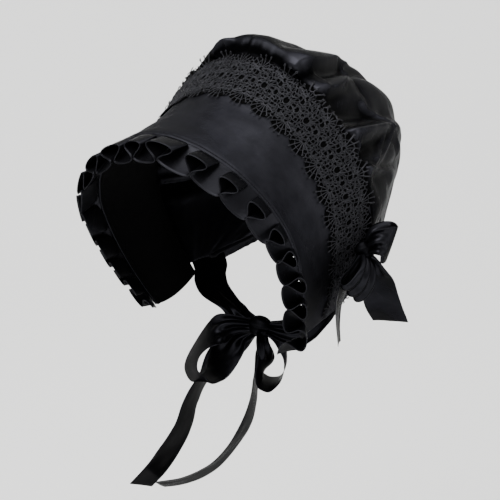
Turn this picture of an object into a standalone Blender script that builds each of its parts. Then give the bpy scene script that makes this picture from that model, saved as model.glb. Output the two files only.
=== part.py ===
"""A black satin bonnet with a stiff brim, a puffed crown, scallop lace, a ruffle and ribbon bows.

Metres, +Z up. The face opening looks towards -Y and the wearer's left is at +X. The sizes below are in
millimetres in the pattern's own frame, whose origin lies midway between the brim's lower front corners.
The finished pieces are moved so that the origin is the head seat, inside the top of the crown.
"""

from collections import namedtuple
from math import cos, pi, radians, sin

import bpy
import numpy as np

MM = 0.001
HEAD_SEAT = np.array([0.0, 80.0, 240.0])

# The three rings that carry the cap. Each is a horseshoe: an arch over the head and two sides that
# come in to the lower corners.
#   y, z       the ring's centre
#   tilt       degrees that its top leans forward
#   half       half its width at the widest
#   rise       height of the arch above the centre
#   drop       length of the sides below the centre
#   corner     half the width between the lower corners
#   squareness exponent of the arch, where 2 is an ellipse and less is more pointed
Ring = namedtuple("Ring", "y z tilt half rise drop corner squareness")
RUFFLE_SEAM = Ring(y=-38.5, z=96.5, tilt=25.6, half=102.5, rise=97.0, drop=94.0, corner=80.0, squareness=1.85)
LACE_FRONT = Ring(y=12.5, z=101.0, tilt=12.0, half=98.5, rise=108.0, drop=85.5, corner=77.5, squareness=1.93)
CROWN_SEAM = Ring(y=46.0, z=118.0, tilt=7.5, half=116.0, rise=118.0, drop=90.5, corner=80.5, squareness=1.7)
ARCH_SHARE = 0.58
LACE_FRONT_PLACE = 0.58

# The nape edge, an arc from one lower back corner to the other.
NAPE_DEPTH = 142.0
NAPE_RISE = 50.0

# How the crown's cloth leaves the crown seam and comes down to the nape.
CROWN_LEAVE = 8.8
CROWN_LEAVE_SIDE = -22.5
CROWN_FRONT_PULL = 0.16
CROWN_BACK_PULL = 0.68
CROWN_BACK_PULL_SIDE = 0.14
NAPE_SLOPE = 55.0
NAPE_FLARE = -0.15
TOP_PUFF = 14.3
TOP_PUFF_PLACE = 0.08
TOP_PUFF_SPREAD = 0.21
CROWN_REACH = 0.965

# The crown's main folds on the wearer's left, repeated lower on the right.
#   at      place along the crown seam, from 0 at the top to 1 at the corner
#   drift   how far it has moved along the ring at its end
#   height  millimetres outward, or inward where negative
#   width   half its width along the ring
#   start   where it begins and end where it has died out, from 0 at the seam to 1 at the nape
Fold = namedtuple("Fold", "at drift height width start end")
FOLDS = (
    Fold(at=0.10, drift=-0.02, height=-3.0, width=0.030, start=0.05, end=0.50),
    Fold(at=0.17, drift=-0.05, height=5.0, width=0.032, start=0.00, end=0.70),
    Fold(at=0.22, drift=-0.05, height=-4.0, width=0.026, start=0.10, end=0.60),
    Fold(at=0.25, drift=-0.05, height=4.0, width=0.030, start=0.00, end=0.50),
    Fold(at=0.29, drift=0.08, height=-8.5, width=0.036, start=0.02, end=0.50),
    Fold(at=0.37, drift=0.05, height=7.0, width=0.030, start=0.00, end=0.75),
    Fold(at=0.42, drift=0.00, height=-4.0, width=0.024, start=0.00, end=0.35),
    Fold(at=0.46, drift=-0.02, height=4.0, width=0.024, start=0.00, end=0.40),
    Fold(at=0.49, drift=0.07, height=-5.0, width=0.026, start=0.05, end=0.65),
    Fold(at=0.58, drift=0.05, height=2.0, width=0.050, start=0.00, end=0.75),
    Fold(at=0.70, drift=0.05, height=-3.0, width=0.035, start=0.00, end=0.70),
    Fold(at=0.26, drift=0.00, height=6.0, width=0.070, start=0.35, end=0.95),
    Fold(at=0.66, drift=0.00, height=-4.0, width=0.090, start=0.25, end=1.00),
)
RIGHT_FOLD_SHARE = 0.4

BRIM_THICK = 2.2
CROWN_THICK = 1.6
LACE_THICK = 1.1
RUFFLE_THICK = 1.1
BAND_THICK = 1.8
RIBBON_THICK = 1.1
SEAM_GAP = 0.5
LACE_LIFT = 0.7
SEAT_GAP = 0.35

BRIM_COLUMNS = 40
BRIM_ROWS = 6
CROWN_COLUMNS = 56
CROWN_ROWS = 12

NAPE_BAND_DEPTH = 12.0
NAPE_BAND_GAP = 0.9
NAPE_BAND_COLUMNS = 36
NAPE_BAND_WAVE = 1.2

# Where the frill's folds meet its seam, as shares of the run from the top to each lower corner.
FLUTES_LEFT = (0.0, 0.14, 0.26, 0.37, 0.48, 0.58, 0.68, 0.78, 0.89, 1.0)
FLUTES_RIGHT = (0.0, 0.09, 0.22, 0.34, 0.48, 0.63, 0.74, 0.83, 0.91, 1.0)
RUFFLE_STEPS = 8
RUFFLE_DEPTH = 26.0
RUFFLE_SEAM_GAP = 0.8
RUFFLE_OUT = 5.0
RUFFLE_IN = 10.0
RUFFLE_CURL = 3.2
RUFFLE_WIDEN = 2.6
RUFFLE_HEADER = 0.2
RUFFLE_LEAN_TOP = 8.0
RUFFLE_LEAN_LEFT = 22.0
RUFFLE_LEAN_RIGHT = 40.0
RUFFLE_DROP_LEFT = 11.0
RUFFLE_DROP_RIGHT = 3.0
RUFFLE_DROP_SHARE = 0.04

# The lace repeats a fan along each edge, with rows of gaps between them.
LACE_REPEATS = 23
LACE_REACH = 0.985
LACE_FROM = 0.53
LACE_TO = 0.985
LACE_FAN = 0.045
LACE_COLUMN_STARTS = (0.0, 0.2, 0.5, 0.7)
LACE_ROW_STARTS = (0.0, 0.16, 0.30, 0.43, 0.57, 0.70, 0.84, 1.0)
LACE_GAPS = ((1, 1), (3, 1), (1, 5), (3, 5), (1, 3))

RIBBON_ROOT = 10.0
KNOT_SEGMENTS = 12
KNOT_RINGS = 7
CHIN_KNOT = np.array([0.0, 50.0, -4.0])
CHIN_KNOT_SIZE = np.array([10.0, 7.5, 8.0])
SIDE_KNOT_SIZE = np.array([7.0, 8.0, 8.0])
SIDE_KNOT_AROUND = 0.705
SIDE_KNOT_ALONG = 0.90

# A ribbon's rows, between its roots at a knot.
#   x, y, z  its middle
#   turn     degrees about +Z from +X to the direction of its width
#   lift     degrees that this direction rises above the horizontal
#   width    its width across the folds
Row = namedtuple("Row", "x y z turn lift width")

CHIN_LOOP_LEFT = (
    Row(-21, 36, -4, -42, -70, 19),
    Row(-31, 28, -9, -34, -30, 31),
    Row(-42, 24, -19, -34, 0, 32),
    Row(-52, 22, -34, -32, 18, 32),
    Row(-56, 23, -49, -28, 18, 32),
    Row(-49, 28, -59, -14, 12, 32),
    Row(-41, 35, -54, -14, 10, 32),
    Row(-35, 39, -42, 0, 6, 32),
    Row(-30, 43, -28, 14, 6, 31),
    Row(-24, 46, -17, 30, -10, 22),
)
CHIN_LOOP_RIGHT = (
    Row(9, 43, -18, 92, -14, 24),
    Row(10, 45, -31, 100, -17, 32),
    Row(6, 44, -43, 112, -12, 32),
    Row(4, 47, -52, 118, 2, 32),
    Row(8, 53, -56, 121, 8, 32),
    Row(14, 60, -52, 125, -4, 32),
    Row(16, 65, -42, 125, -16, 32),
    Row(16, 64, -29, 122, -16, 30),
    Row(13, 59, -18, 112, -20, 20),
)
CHIN_TAIL_LEFT = (
    Row(-23, 61, -15, 40, -50, 18),
    Row(-40, 64, -29, 55, -40, 27),
    Row(-56, 63, -45, 80, -28, 32),
    Row(-67, 54, -65, 108, -18, 32),
    Row(-67, 35, -83, 106, -19, 32),
    Row(-69, 27, -104, 100, -22, 32),
    Row(-80, 21, -128, 94, -22, 32),
    Row(-93, 16, -149, 90, -21, 32),
    Row(-106, 10, -166, 90, -21, 32),
)
CHIN_TAIL_RIGHT = (
    Row(-3, 58, -24, 95, -25, 18),
    Row(-8, 59, -39, 115, -23, 29),
    Row(-11, 58, -56, 119, -21, 32),
    Row(-12, 55, -77, 117, -21, 32),
    Row(-17, 51, -99, 111, -20, 32),
    Row(-28, 45, -121, 110, -17, 32),
    Row(-46, 38, -143, 116, -27, 32),
    Row(-69, 29, -158, 123, -30, 32),
    Row(-92, 20, -165, 121, -29, 32),
)
CHIN_RIBBON_RIGHT = (
    Row(-72, 75, 42, 75, 19, 32),
    Row(-73, 71, 34, 75, 19, 32),
    Row(-67, 63, 26, 82, 17, 32),
    Row(-58, 57, 19, 88, 12, 32),
    Row(-46, 54, 13, 90, 4, 30),
    Row(-33, 52, 7, 90, 0, 26),
    Row(-21, 50, 1, 88, 30, 18),
)
CHIN_RIBBON_LEFT = (
    Row(72, 75, 42, 105, 19, 32),
    Row(73, 71, 33, 105, 22, 32),
    Row(66, 61, 20, 105, 40, 32),
    Row(55, 57, 9, 105, 58, 31),
    Row(42, 54, 0, 105, 66, 30),
    Row(27, 52, -4, 105, 70, 22),
)
SIDE_LOOP_UPPER = (
    Row(130, 37, 92, 27, -76, 24),
    Row(135, 42, 91, 180, -80, 32),
    Row(134, 51, 90, 180, -70, 32),
    Row(128, 55, 92, 180, -80, 32),
    Row(122, 48, 93, 27, -76, 24),
)
SIDE_LOOP_LOWER = (
    Row(123, 21, 74, -51, 17, 26),
    Row(123, 18, 64, -51, 17, 32),
    Row(121, 18, 53, -51, 17, 32),
    Row(123, 26, 59, -51, 17, 32),
    Row(125, 33, 69, -51, 17, 24),
)
SIDE_TAIL_BACK = (
    Row(121, 45, 74, -30, 17, 24),
    Row(120, 51, 61, -10, 17, 32),
    Row(117, 60, 45, 12, 8, 32),
    Row(115, 70, 29, 20, 5, 32),
    Row(114, 82, 14, 14, 3, 32),
)
SIDE_TAIL_FRONT = (
    Row(113, 27, 71, 108, -25, 16),
    Row(111, 20, 61, 113, -19, 31),
    Row(107, 17, 44, 116, -18, 32),
    Row(106, 17, 27, 119, -17, 32),
    Row(107, 18, 8, 121, -17, 32),
)
RIBBON_STEPS = 2


def clear_scene():
    """Removes whatever the scene opened with."""
    for item in list(bpy.data.objects):
        bpy.data.objects.remove(item, do_unlink=True)


def cloth(name, colour, roughness):
    """A plain cloth colour, linear RGB."""
    material = bpy.data.materials.new(name)
    material.use_nodes = True
    shader = material.node_tree.nodes["Principled BSDF"]
    shader.inputs["Base Color"].default_value = (*colour, 1.0)
    shader.inputs["Roughness"].default_value = roughness
    shader.inputs["Metallic"].default_value = 0.0
    material.diffuse_color = (*colour, 1.0)
    return material


def arch(ring, around):
    """Points of a ring, where around runs from -1 at the right corner over the top to 1."""
    away = np.abs(around)
    angle = np.clip(away / ARCH_SHARE, 0, 1) * pi / 2
    down = np.clip((away - ARCH_SHARE) / (1 - ARCH_SHARE), 0, 1)
    power = 2 / ring.squareness
    over = away <= ARCH_SHARE
    side = np.where(over, ring.half * np.sin(angle) ** power, ring.half - (ring.half - ring.corner) * down**2)
    height = np.where(over, ring.rise * np.clip(np.cos(angle), 0, 1) ** power, -ring.drop * down)
    tilt = radians(ring.tilt)
    return np.stack([side * np.sign(around), ring.y - height * sin(tilt), ring.z + height * cos(tilt)], -1)


def evenly(count, reach=1.0):
    """Places along the rings that are evenly spaced on the lace's front ring."""
    fine = np.linspace(-1, 1, 2001)
    steps = np.linalg.norm(np.diff(arch(LACE_FRONT, fine), axis=0), axis=1)
    run = np.concatenate([[0], np.cumsum(steps)])
    return np.interp(np.linspace(-reach, reach, count), run / run[-1] * 2 - 1, fine)


def brim_points(around, along):
    """The brim's outer surface, a smooth sweep through the three rings, with along from 0 to 1."""
    middle = LACE_FRONT_PLACE
    along = np.asarray(along)[..., None]
    front = arch(RUFFLE_SEAM, around) * (along - middle) * (along - 1) / middle
    waist = arch(LACE_FRONT, around) * along * (along - 1) / (middle * (middle - 1))
    back = arch(CROWN_SEAM, around) * along * (along - middle) / (1 - middle)
    return front + waist + back


def nape_edge(across):
    """The nape's edge, where across runs from -1 to 1."""
    corner = arch(CROWN_SEAM, np.array([1.0]))[0]
    spread = np.abs(across)
    return np.stack(
        [
            corner[0] * across,
            corner[1] + NAPE_DEPTH * (1 - spread**2.4),
            corner[2] + NAPE_RISE * (1 - spread**2),
        ],
        -1,
    )


def unit(vectors):
    """The vectors at length one."""
    return vectors / np.linalg.norm(vectors, axis=-1, keepdims=True)


def crown_sheet(around, down):
    """The crown before its folds: a curve from the seam back and down to the nape at each place."""
    seam = arch(CROWN_SEAM, around)
    tilt = radians(CROWN_SEAM.tilt)
    back = np.array([0, cos(tilt), sin(tilt)])
    across = np.sign(around) * np.abs(around) ** 1.3
    nape = nape_edge(across)
    chord = np.linalg.norm(seam - nape, axis=1, keepdims=True)
    lean = np.radians(CROWN_LEAVE + CROWN_LEAVE_SIDE * around**2)[:, None]
    leave = back * np.cos(lean) + ring_outward(CROWN_SEAM, around) * np.sin(lean)
    slope = radians(NAPE_SLOPE)
    arrive = unit(np.stack([NAPE_FLARE * across, 0 * across + cos(slope), 0 * across + sin(slope)], -1))
    first = seam + CROWN_FRONT_PULL * chord * leave
    back_pull = CROWN_BACK_PULL + CROWN_BACK_PULL_SIDE * around[:, None] ** 2
    second = nape + back_pull * chord * arrive
    v = down[None, :, None]
    sheet = (
        seam[:, None] * (1 - v) ** 3
        + 3 * first[:, None] * v * (1 - v) ** 2
        + 3 * second[:, None] * v**2 * (1 - v)
        + nape[:, None] * v**3
    )
    centre = np.array([0, CROWN_SEAM.y + 60, CROWN_SEAM.z])
    swell = unit((sheet - centre) * np.array([1, 0.3, 1]))
    place = down / TOP_PUFF_PLACE
    rise = TOP_PUFF * place * np.exp(1 - place)
    amount = rise[None, :] * np.exp(-((around / TOP_PUFF_SPREAD) ** 4))[:, None]
    return sheet + swell * amount[..., None]


def ring_outward(ring, around):
    """Unit directions away from a ring, in its own plane."""
    step = 1e-4
    tangent = unit(arch(ring, around + step) - arch(ring, around - step))
    tilt = radians(ring.tilt)
    return unit(np.cross(tangent, np.array([0, cos(tilt), sin(tilt)])))


def surface_normals(grid, centre):
    """Unit normals of a grid of points, turned away from the centre."""
    normals = unit(np.cross(np.gradient(grid, axis=0), np.gradient(grid, axis=1)))
    middle = tuple(size // 2 for size in grid.shape[:2])
    if np.dot(normals[middle], grid[middle] - centre) < 0:
        normals = -normals
    return normals


def fold_heights(around, down):
    """How far the folds move the crown's cloth outward at each place."""
    heights = np.zeros((len(around), len(down)))
    for fold in FOLDS:
        run = np.clip((down - fold.start) / (fold.end - fold.start), 0, 1)
        strength = fold.height * np.sin(pi * run**0.6) ** 0.8
        line = fold.at + fold.drift * run
        for side, share in ((1, 1.0), (-1, RIGHT_FOLD_SHARE)):
            heights += share * strength * np.exp(-(((side * around[:, None] - line) / fold.width) ** 2))
    return heights


def crown_outer(around, down):
    """The crown's outer surface with its folds."""
    sheet = crown_sheet(around, down)
    normals = surface_normals(sheet, HEAD_SEAT - np.array([0, 0, 80]))
    return sheet + normals * fold_heights(around, down)[..., None]


def make_object(name, points, faces, finish):
    """A smooth-shaded mesh object from points in the pattern's millimetres."""
    mesh = bpy.data.meshes.new(name)
    mesh.from_pydata(((np.asarray(points) - HEAD_SEAT) * MM).tolist(), [], faces)
    mesh.validate()
    mesh.shade_smooth()
    mesh.set_sharp_from_angle(angle=radians(50))
    mesh.materials.append(finish)
    item = bpy.data.objects.new(name, mesh)
    bpy.context.scene.collection.objects.link(item)
    return item


def close_sheet(name, face, back, finish, gaps=None):
    """One closed body between an outer grid and an inner grid, open through each gap cell."""
    columns, rows = face.shape[:2]
    present = np.ones((columns - 1, rows - 1), bool)
    if gaps is not None:
        present &= ~gaps
    count = columns * rows
    cells = []
    for i, j in np.argwhere(present):
        first = int(i * rows + j)
        cells.append((first, first + rows, first + rows + 1, first + 1))
    corner = cells[len(cells) // 2]
    points = np.concatenate([face.reshape(-1, 3), back.reshape(-1, 3)])
    normal = np.cross(points[corner[1]] - points[corner[0]], points[corner[3]] - points[corner[0]])
    if np.dot(normal, points[corner[0]] - points[corner[0] + count]) < 0:
        cells = [cell[::-1] for cell in cells]
    edges = {(cell[k], cell[(k + 1) % 4]) for cell in cells for k in range(4)}
    faces = [cell[:3] for cell in cells] + [(cell[0], cell[2], cell[3]) for cell in cells]
    faces += [tuple(index + count for index in reversed(face)) for face in faces]
    faces += [(b, a, a + count, b + count) for a, b in sorted(edges) if (b, a) not in edges]
    return make_object(name, points, faces, finish)


def make_brim(finish):
    """The stiff front, its back edge set a seam gap short of the crown."""
    around = evenly(BRIM_COLUMNS + 1)
    depth = np.linalg.norm(arch(CROWN_SEAM, around) - arch(LACE_FRONT, around), axis=1)
    last = 1 - (1 - LACE_FRONT_PLACE) * SEAM_GAP / depth
    shares = np.linspace(0, 1, BRIM_ROWS + 1)
    outer = np.stack([brim_points(around, last * share) for share in shares], 1)
    normals = surface_normals(outer, np.array([0, 0, CROWN_SEAM.z]))
    normals[:, -1] = ring_outward(CROWN_SEAM, around)
    return close_sheet("brim", outer, outer - normals * BRIM_THICK, finish)


def band_start(around):
    """Where the crown ends and the nape band begins, as a share of each curve down the crown."""
    down = np.linspace(0, 1, 201)
    sheet = crown_outer(around, down)
    steps = np.linalg.norm(np.diff(sheet, axis=1), axis=2)
    left = np.cumsum(steps[:, ::-1], axis=1)[:, ::-1]
    run = left[:, 0]
    depth = np.minimum(NAPE_BAND_DEPTH, run * 0.4)
    return np.array([np.interp(-deep, -row, down[:-1]) for deep, row in zip(depth, left)])


def stretch_rows(around, starts, ends, rows, surface):
    """A grid on a surface whose rows run from one share to another at each place."""
    fine = np.linspace(0, 1, 161)
    sheet = surface(around, fine)
    shares = np.linspace(0, 1, rows + 1)
    grid = np.empty((len(around), rows + 1, 3))
    for i in range(len(around)):
        down = starts[i] + (ends[i] - starts[i]) * shares
        for axis in range(3):
            grid[i, :, axis] = np.interp(down, fine, sheet[i, :, axis])
    return grid


def make_crown(finish):
    """The puffed bag, from the crown seam to the nape band."""
    around = evenly(CROWN_COLUMNS + 1, CROWN_REACH)
    starts = np.zeros(len(around))
    outer = stretch_rows(around, starts, band_start(around), CROWN_ROWS, crown_outer)
    normals = surface_normals(outer, HEAD_SEAT - np.array([0, 0, 80]))
    normals[:, 0] = ring_outward(CROWN_SEAM, around)
    return close_sheet("crown", outer, outer - normals * CROWN_THICK, finish)


def make_nape_band(finish):
    """The gathered casing below the crown, drawn in to small waves at its free edge."""
    around = evenly(NAPE_BAND_COLUMNS + 1, CROWN_REACH)
    starts = band_start(around)
    starts = starts + (1 - starts) * NAPE_BAND_GAP / NAPE_BAND_DEPTH
    outer = stretch_rows(around, starts, np.ones(len(around)), 2, crown_outer)
    normals = surface_normals(outer, HEAD_SEAT - np.array([0, 0, 80]))
    wave = NAPE_BAND_WAVE * (np.arange(len(around)) % 2 * 2 - 1)[:, None] * np.array([0, 0.5, 1])
    outer = outer + normals * wave[..., None]
    return close_sheet("nape_band", outer, outer - normals * BAND_THICK, finish)


def flute_places():
    """Places along the seam ring at each step of the frill, evenly spaced in every flute."""
    fine = np.linspace(0, 1, 1001)
    steps = np.linalg.norm(np.diff(arch(RUFFLE_SEAM, fine), axis=0), axis=1)
    run = np.concatenate([[0], np.cumsum(steps)])
    shares = [-edge for edge in FLUTES_RIGHT[:0:-1]] + list(FLUTES_LEFT)
    count = RUFFLE_STEPS * (len(shares) - 1)
    places = np.interp(np.arange(count + 1) / RUFFLE_STEPS, range(len(shares)), shares)
    return np.sign(places) * np.interp(np.abs(places), run / run[-1], fine)


def make_ruffle(finish):
    """The frill: a flat header at the seam, then loops that stand to either side of the sheet."""
    around = flute_places()
    count = len(around) - 1
    seam = brim_points(around, np.zeros(count + 1))
    behind = brim_points(around, np.full(count + 1, 0.05))
    forward = unit(seam - behind)
    tangent = unit(np.gradient(seam, axis=0))
    outward = unit(np.cross(forward, tangent))
    if np.dot(outward[count // 2], np.array([0, 0, 1])) < 0:
        outward = -outward
    seam = seam - outward * BRIM_THICK / 2
    side_lean = np.where(around > 0, RUFFLE_LEAN_LEFT, RUFFLE_LEAN_RIGHT)
    lean = np.radians(RUFFLE_LEAN_TOP + (side_lean - RUFFLE_LEAN_TOP) * around**2)[:, None]
    run = forward * np.cos(lean) - outward * np.sin(lean)
    drop = np.where(around > 0, RUFFLE_DROP_LEFT, RUFFLE_DROP_RIGHT)
    drop = drop * np.clip((np.abs(around) - 1 + RUFFLE_DROP_SHARE) / RUFFLE_DROP_SHARE, 0, 1)
    phase = np.arange(count + 1) * 2 * pi / RUFFLE_STEPS
    rows = []
    for share in (0.0, RUFFLE_HEADER, 0.6, 1.0):
        open_share = np.clip((share - RUFFLE_HEADER * 0.6) / (1 - RUFFLE_HEADER * 0.6), 0, 1) ** 0.8
        wave = (RUFFLE_OUT - RUFFLE_IN) / 2 - (RUFFLE_OUT + RUFFLE_IN) / 2 * np.cos(phase)
        curl = open_share * (RUFFLE_CURL * np.sin(2 * phase) + RUFFLE_WIDEN * np.sin(phase))
        reach = RUFFLE_SEAM_GAP + RUFFLE_DEPTH * share
        line = seam + run * reach + outward * (open_share * wave)[:, None] + tangent * curl[:, None]
        rows.append(line - np.array([0, 0, 1]) * drop[:, None])
    middle = np.stack(rows, 1)
    normals = surface_normals(middle, np.array([0, 0, CROWN_SEAM.z]))
    half = normals * RUFFLE_THICK / 2
    return close_sheet("ruffle", middle + half, middle - half, finish)


def make_lace_band(finish):
    """The lace: fans along both edges and five gaps in each repeat, just clear of the brim."""
    per_repeat = len(LACE_COLUMN_STARTS)
    columns = LACE_REPEATS * per_repeat
    place = np.array([n // per_repeat + LACE_COLUMN_STARTS[n % per_repeat] for n in range(columns + 1)])
    share = place / LACE_REPEATS
    steady = evenly(2001, LACE_REACH)
    around = np.interp(share, np.linspace(0, 1, 2001), steady)
    fan = LACE_FAN * np.abs(np.sin(pi * (place + 0.1)))
    first = LACE_FROM + LACE_FAN - fan
    last = LACE_TO - LACE_FAN + fan
    outer = np.stack([brim_points(around, first + (last - first) * row) for row in LACE_ROW_STARTS], 1)
    normals = surface_normals(outer, np.array([0, 0, CROWN_SEAM.z]))
    back = outer + normals * LACE_LIFT
    gaps = np.zeros((columns, len(LACE_ROW_STARTS) - 1), bool)
    for repeat in range(LACE_REPEATS):
        for column, row in LACE_GAPS:
            gaps[repeat * per_repeat + column, row] = True
    return close_sheet("lace_band", back + normals * LACE_THICK, back, finish, gaps)


def side_knot_centre():
    """The side knot's middle, so that it rests just clear of the lace."""
    around = SIDE_KNOT_AROUND + np.array([-0.01, 0, 0.01])
    along = np.array([SIDE_KNOT_ALONG - 0.01, SIDE_KNOT_ALONG, SIDE_KNOT_ALONG + 0.01])
    patch = np.stack([brim_points(around, np.full(3, share)) for share in along], 1)
    normal = surface_normals(patch, np.array([0, 0, CROWN_SEAM.z]))[1, 1]
    reach = 1 / np.linalg.norm(normal / SIDE_KNOT_SIZE)
    return patch[1, 1] + normal * (LACE_LIFT + LACE_THICK + SEAT_GAP + reach)


def make_knot(name, centre, size, finish):
    """A rounded knot."""
    mesh = bpy.data.meshes.new(name)
    item = bpy.data.objects.new(name, mesh)
    bpy.context.scene.collection.objects.link(item)
    rings = []
    for ring in range(1, KNOT_RINGS):
        polar = pi * ring / KNOT_RINGS
        turns = np.arange(KNOT_SEGMENTS) * 2 * pi / KNOT_SEGMENTS
        across = np.cos(turns) * sin(polar)
        rings.append(np.stack([across, np.sin(turns) * sin(polar), 0 * turns + cos(polar)], -1))
    points = np.concatenate([*rings, [[0, 0, 1], [0, 0, -1]]]) * size + centre
    top = len(points) - 2
    faces = []
    for segment in range(KNOT_SEGMENTS):
        following = (segment + 1) % KNOT_SEGMENTS
        faces.append((top, segment, following))
        for ring in range(KNOT_RINGS - 2):
            upper = ring * KNOT_SEGMENTS
            lower = upper + KNOT_SEGMENTS
            faces.append((upper + segment, lower + segment, lower + following, upper + following))
        lower = (KNOT_RINGS - 2) * KNOT_SEGMENTS
        faces.append((top + 1, lower + following, lower + segment))
    mesh.from_pydata(((points - HEAD_SEAT) * MM).tolist(), [], faces)
    mesh.shade_smooth()
    mesh.materials.append(finish)
    return item


def width_direction(row):
    """The unit direction of a ribbon's width at a row."""
    turn = radians(row.turn)
    lift = radians(row.lift)
    return np.array([cos(lift) * cos(turn), cos(lift) * sin(turn), sin(lift)])


def root(row, centre, size):
    """The narrow end of a ribbon, square to its own run and just clear of its knot."""
    direction = unit(np.array([row.x, row.y, row.z]) - centre)
    place = centre + direction * (np.linalg.norm(direction * size) + SEAT_GAP)
    across = width_direction(row)
    across = unit(across - direction * np.dot(across, direction))
    turn = np.degrees(np.arctan2(across[1], across[0]))
    lift = np.degrees(np.arcsin(across[2]))
    return Row(*place, turn, lift, RIBBON_ROOT)


def smooth_rows(values, steps):
    """Points of a curve through each row, with steps between rows."""
    before = np.concatenate([[2 * values[0] - values[1]], values, [2 * values[-1] - values[-2]]])
    found = []
    for start in range(len(values) - 1):
        a, b, c, d = before[start : start + 4]
        for step in range(steps):
            t = step / steps
            found.append(
                b + 0.5 * t * (c - a + t * (2 * a - 5 * b + 4 * c - d + t * (3 * (b - c) + d - a)))
            )
    found.append(values[-1])
    return np.array(found)


def make_ribbon(name, rows, finish):
    """A flat ribbon through its rows."""
    middle = smooth_rows(np.array([[row.x, row.y, row.z] for row in rows], float), RIBBON_STEPS)
    across = unit(smooth_rows(np.array([width_direction(row) for row in rows]), RIBBON_STEPS))
    half = smooth_rows(np.array([row.width for row in rows], float)[:, None], RIBBON_STEPS) / 2
    path = np.gradient(middle, axis=0)
    normal = unit(np.cross(path, across))[:, None] * RIBBON_THICK / 2
    sheet = np.stack([middle - across * half, middle + across * half], 1)
    return close_sheet(name, sheet + normal, sheet - normal, finish)


def make_ties(finish):
    """The chin ribbons, their bow and its tails."""
    centre = CHIN_KNOT
    size = CHIN_KNOT_SIZE
    make_knot("chin_bow_knot", centre, size, finish)
    for name, rows in (("chin_ribbon_left", CHIN_RIBBON_LEFT), ("chin_ribbon_right", CHIN_RIBBON_RIGHT)):
        make_ribbon(name, (*rows, root(rows[-1], centre, size)), finish)
    for name, rows in (("chin_bow_loop_left", CHIN_LOOP_LEFT), ("chin_bow_loop_right", CHIN_LOOP_RIGHT)):
        make_ribbon(name, (root(rows[0], centre, size), *rows, root(rows[-1], centre, size)), finish)
    for name, rows in (("chin_tail_left", CHIN_TAIL_LEFT), ("chin_tail_right", CHIN_TAIL_RIGHT)):
        make_ribbon(name, (root(rows[0], centre, size), *rows), finish)


def make_side_bow(finish):
    """The bow at the wearer's left."""
    centre = side_knot_centre()
    size = SIDE_KNOT_SIZE
    make_knot("side_bow_knot", centre, size, finish)
    for name, rows in (("side_bow_loop_upper", SIDE_LOOP_UPPER), ("side_bow_loop_lower", SIDE_LOOP_LOWER)):
        make_ribbon(name, (root(rows[0], centre, size), *rows, root(rows[-1], centre, size)), finish)
    for name, rows in (("side_bow_tail_back", SIDE_TAIL_BACK), ("side_bow_tail_front", SIDE_TAIL_FRONT)):
        make_ribbon(name, (root(rows[0], centre, size), *rows), finish)


clear_scene()
make_brim(cloth("brim_satin", (0.020, 0.020, 0.023), 0.45))
make_crown(cloth("crown_satin", (0.018, 0.018, 0.021), 0.32))
make_lace_band(cloth("corded_lace", (0.010, 0.010, 0.011), 0.75))
make_ruffle(cloth("ruffle_satin", (0.020, 0.020, 0.022), 0.34))
make_nape_band(cloth("nape_casing_satin", (0.014, 0.014, 0.016), 0.5))
make_side_bow(cloth("bow_ribbon_satin", (0.018, 0.018, 0.020), 0.30))
make_ties(cloth("tie_ribbon_satin", (0.020, 0.020, 0.022), 0.30))
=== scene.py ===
"""The looks of a black satin bonnet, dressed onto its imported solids.

Metres in the row frame, +Z up, the face opening towards -Y and the wearer's left at +X. The pattern's own
sizes are in millimetres, with their origin midway between the brim's lower front corners.
"""

from __future__ import annotations

import logging
from dataclasses import dataclass, field
from enum import Enum
from math import cos, inf, pi, radians, sin
from typing import NamedTuple

import bpy
import numpy as np
from mathutils import Matrix
from numpy.typing import NDArray

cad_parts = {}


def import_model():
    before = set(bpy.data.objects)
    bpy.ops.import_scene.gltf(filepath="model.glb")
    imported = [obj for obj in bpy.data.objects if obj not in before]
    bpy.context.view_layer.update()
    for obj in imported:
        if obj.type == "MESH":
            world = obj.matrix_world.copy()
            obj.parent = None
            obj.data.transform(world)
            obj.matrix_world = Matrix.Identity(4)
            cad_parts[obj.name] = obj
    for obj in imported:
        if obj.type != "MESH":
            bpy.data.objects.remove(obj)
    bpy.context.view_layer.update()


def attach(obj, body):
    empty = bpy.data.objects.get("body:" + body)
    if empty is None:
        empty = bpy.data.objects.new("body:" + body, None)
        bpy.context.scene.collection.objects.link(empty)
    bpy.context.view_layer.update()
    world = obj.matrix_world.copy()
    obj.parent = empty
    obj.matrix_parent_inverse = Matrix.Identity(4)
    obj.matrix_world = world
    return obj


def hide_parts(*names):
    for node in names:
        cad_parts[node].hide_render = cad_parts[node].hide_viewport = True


Array = NDArray[np.float64]
LOG = logging.getLogger("bonnet")
MM = 0.001
HEAD_SEAT = np.array([0.0, 80.0, 240.0])  # the row frame's origin in pattern millimetres
WEAVE = "weave"  # the map that gives a satin its own lengths in millimetres
# The fold marks carry painted shade and painted highlight for a satin's colour.
FOLD = "fold"  # how far a point stands out of its folds, from 0 to 1
FOLD_REACH = 8  # how many points of a grid count as a point's surroundings
NOISE_LATTICE = (61, 67)
FINE = 2001  # points on a finely sampled line


class Slot(Enum):
    """The record's material slots."""

    BRIM = "brim_satin"
    LACE = "corded_lace"
    FRILL = "ruffle_satin"
    CROWN = "crown_satin"
    CASING = "nape_casing_satin"
    TIES = "tie_ribbon_satin"
    SIDE_BOW = "bow_ribbon_satin"


class Ends(Enum):
    """Which ends of a ribbon its knot holds."""

    FIRST = (True, False)
    LAST = (False, True)
    BOTH = (True, True)


def linear(colour: str) -> tuple[float, float, float, float]:
    """Turns an sRGB hex colour to linear.

    Args:
        colour: six hex digits after a hash.

    Returns:
        Linear red, green, blue and an alpha of one.
    """
    parts = [int(colour[i : i + 2], 16) / 255 for i in (1, 3, 5)]
    red, green, blue = (c / 12.92 if c <= 0.04045 else ((c + 0.055) / 1.055) ** 2.4 for c in parts)
    return red, green, blue, 1.0


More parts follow.
